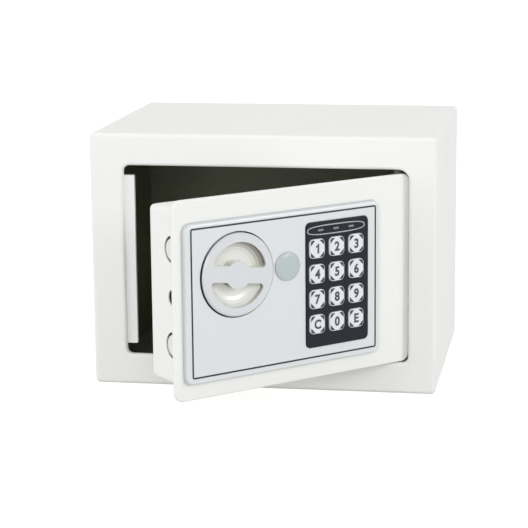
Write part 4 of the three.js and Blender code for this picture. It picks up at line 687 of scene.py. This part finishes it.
# Keys and figures
# Twelve moulded keys of pale grey plastic. Each has a printed field: dark corners round
# a pale disc, and in the disc a dark figure.
KEY_ROWS = ("123", "456", "789", "C0E")
KEY_DISC_RADIUS = 0.0048
KEY_FIELD_WIDTH = 0.0103
KEY_FIELD_HEIGHT = 0.011
KEY_FIELD_CORNER = 0.0017
KEY_MARK_REACH = 0.0071
KEY_MARK_DARK = "24282E"
key_boxes = {name: closed_box(f"key_{name.lower()}") for row in KEY_ROWS for name in row}
key_places = {name: (low + high) / 2 for name, (low, high) in key_boxes.items()}
KEY_PITCH_X = key_places["2"].x - key_places["1"].x
KEY_PITCH_Z = key_places["1"].z - key_places["4"].z
KEY_TOP = key_boxes["5"][0].y
pale_key, tree, shader = new_material("pale_moulded_abs", roughness=0.35, ior=1.53)
axis, place = closed_door(tree)
_, tint = mottle(tree, place, grain=0.0005, detail=2.0, colours=("DFE1E8", "E7E9EF"))
offset = []
for letter, middle, pitch in (
    ("X", key_places["5"].x, KEY_PITCH_X), ("Z", key_places["5"].z, KEY_PITCH_Z),
):
    step = past(tree, axis.outputs[letter], middle - pitch / 2)
    step = add_node(tree, "Math", {0: step, 1: pitch, 2: 0.0}, operation="FLOORED_MODULO")
    step = past(tree, step, pitch / 2)
    offset.append(add_node(tree, "Math", {0: step}, operation="ABSOLUTE"))
off_disc = add_node(tree, "Math", {0: distance(tree, *offset), 1: KEY_DISC_RADIUS},
                    operation="GREATER_THAN")
field = rounded_edge(
    tree,
    past(tree, offset[0], KEY_FIELD_WIDTH / 2),
    past(tree, offset[1], KEY_FIELD_HEIGHT / 2),
    KEY_FIELD_CORNER,
)
in_field = add_node(tree, "Math", {0: field, 1: 0.0}, operation="LESS_THAN")
reach = add_node(tree, "Math", {0: offset[0], 1: offset[1]}, operation="ADD")
far_out = add_node(tree, "Math", {0: reach, 1: KEY_MARK_REACH}, operation="GREATER_THAN")
corner = where_all(tree, off_disc, in_field, far_out)
printed = add_node(tree, "Mix", {0: corner, 6: tint, 7: linear(KEY_MARK_DARK)},
                   data_type="RGBA")
feed(shader, {"Base Color": printed})
dress([f"key_{name.lower()}" for name in key_places], pale_key)

FIGURE_SIZE = 0.0080
FIGURE_NARROWING = 0.95
FIGURE_WEIGHT = 0.0003
ONE_OUTLINE = (
    (0.0009, -0.0030), (0.0009, 0.0030), (-0.0001, 0.0030), (-0.0006, 0.0022),
    (-0.0016, 0.0016), (-0.0016, 0.0006), (-0.0004, 0.0011), (-0.0004, -0.0030),
)
dark_print = mottled(
    "dark_grey_print", grain=0.0005, detail=2.0, colours=("363A42", "40444C"),
    roughness=0.5,
)


def flat_one():
    """A bold 1 with a flag, which the built-in typeface lacks."""
    shape = bmesh.new()
    rear, front = (
        [shape.verts.new((x, y, z)) for x, y in ONE_OUTLINE]
        for z in (-PRINT_THICKNESS / 2, PRINT_THICKNESS / 2)
    )
    shape.faces.new(rear)
    shape.faces.new(front)
    for i in range(len(ONE_OUTLINE)):
        j = (i + 1) % len(ONE_OUTLINE)
        shape.faces.new((rear[i], rear[j], front[j], front[i]))
    bmesh.ops.recalc_face_normals(shape, faces=shape.faces)
    mesh = bpy.data.meshes.new("figure_1")
    shape.to_mesh(mesh)
    shape.free()
    return mesh


def flat_figure(name):
    """A figure of the built-in typeface as a thin mesh."""
    words = bpy.data.curves.new("figure", "FONT")
    words.body = name
    words.size = FIGURE_SIZE
    words.extrude = PRINT_THICKNESS / 2
    words.offset = FIGURE_WEIGHT
    words.resolution_u = 4
    drawn = new_object("figure", words)
    bpy.context.view_layer.update()
    seen = drawn.evaluated_get(bpy.context.evaluated_depsgraph_get())
    mesh = bpy.data.meshes.new_from_object(seen)
    bpy.data.objects.remove(drawn)
    for v in mesh.vertices:
        v.co.x *= FIGURE_NARROWING
    return mesh


FIGURE_Y = KEY_TOP + PRINT_SUNK - PRINT_THICKNESS / 2
for name, centre in key_places.items():
    mesh = flat_one() if name == "1" else flat_figure(name)
    wide = [v.co.x for v in mesh.vertices]
    tall = [v.co.y for v in mesh.vertices]
    middle = Vector(((min(wide) + max(wide)) / 2, (min(tall) + max(tall)) / 2, 0))
    for v in mesh.vertices:
        flat = v.co - middle
        v.co = on_door(centre.x + flat.x, FIGURE_Y - flat.z, centre.z + flat.y)
    mesh.materials.clear()
    mesh.materials.append(dark_print)
    figure = new_object("figure_" + name.lower(), mesh)
    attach(figure, "button_" + name.lower())

# Circuit board
# Glass-fibre board with green solder mask over copper tracks, which show as paler lines
# 1.5 mm apart.
TRACK_PITCH = 0.0015
TRACK_LENGTH = 0.006
TRACK_WIDTH = 0.0002
mask_green, tree, shader = new_material("solder_mask", roughness=0.3, ior=1.5)
track = add_node(tree, "TexBrick", {
    "Vector": closed_door(tree)[1], "Scale": 1.0, "Mortar Size": TRACK_WIDTH,
    "Brick Width": TRACK_LENGTH, "Row Height": TRACK_PITCH,
    "Color1": linear("1F5A3A"), "Color2": linear("235F3F"), "Mortar": linear("3B7A57"),
})
feed(shader, {"Base Color": track})
dress(["keypad_board"], mask_green)

# Battery tray, lid and reset switch
# Black ABS, moulded with a fine spark-eroded texture about 0.4 mm across, which keeps it
# from shining.
black = mottled(
    "black_abs", grain=0.0004, detail=3.0, colours=("1C1D1F", "27282A"),
    relief=(0.3, 0.00008), roughness=0.45, ior=1.53,
)
dress(["battery_tray", "battery_cover", "reset_switch"], black)

# Batteries
# Four upright cells in shrunk plastic sleeves, printed dark with a plain copper band near
# each end, as far above the door's middle as below it.
BAND_FROM = 0.0155
BAND_TO = 0.0235
BAND_COPPER = "B0764A"
sleeve, tree, shader = new_material("printed_battery_sleeve", roughness=0.3)
axis, place = closed_door(tree)
_, tint = mottle(tree, place, grain=0.002, detail=2.0, colours=("2B2F35", "353A41"))
off_middle = add_node(tree, "Math", {0: past(tree, axis.outputs["Z"], DOOR_MIDDLE)},
                      operation="ABSOLUTE")
band = between(tree, off_middle, BAND_FROM, BAND_TO)
banded = add_node(tree, "Mix", {0: band, 6: tint, 7: linear(BAND_COPPER)}, data_type="RGBA")
feed(shader, {"Base Color": banded})
dress([f"battery_{i}" for i in range(1, 5)], sleeve)

# Reset button
# Moulded in red ABS and glossy from the mould. Its colour drifts a little, over about
# 1 mm.
red = mottled(
    "red_abs", grain=0.001, detail=2.0, colours=("B4211D", "BE2A24"),
    roughness=0.25, ior=1.53,
)
dress(["reset_button"], red)
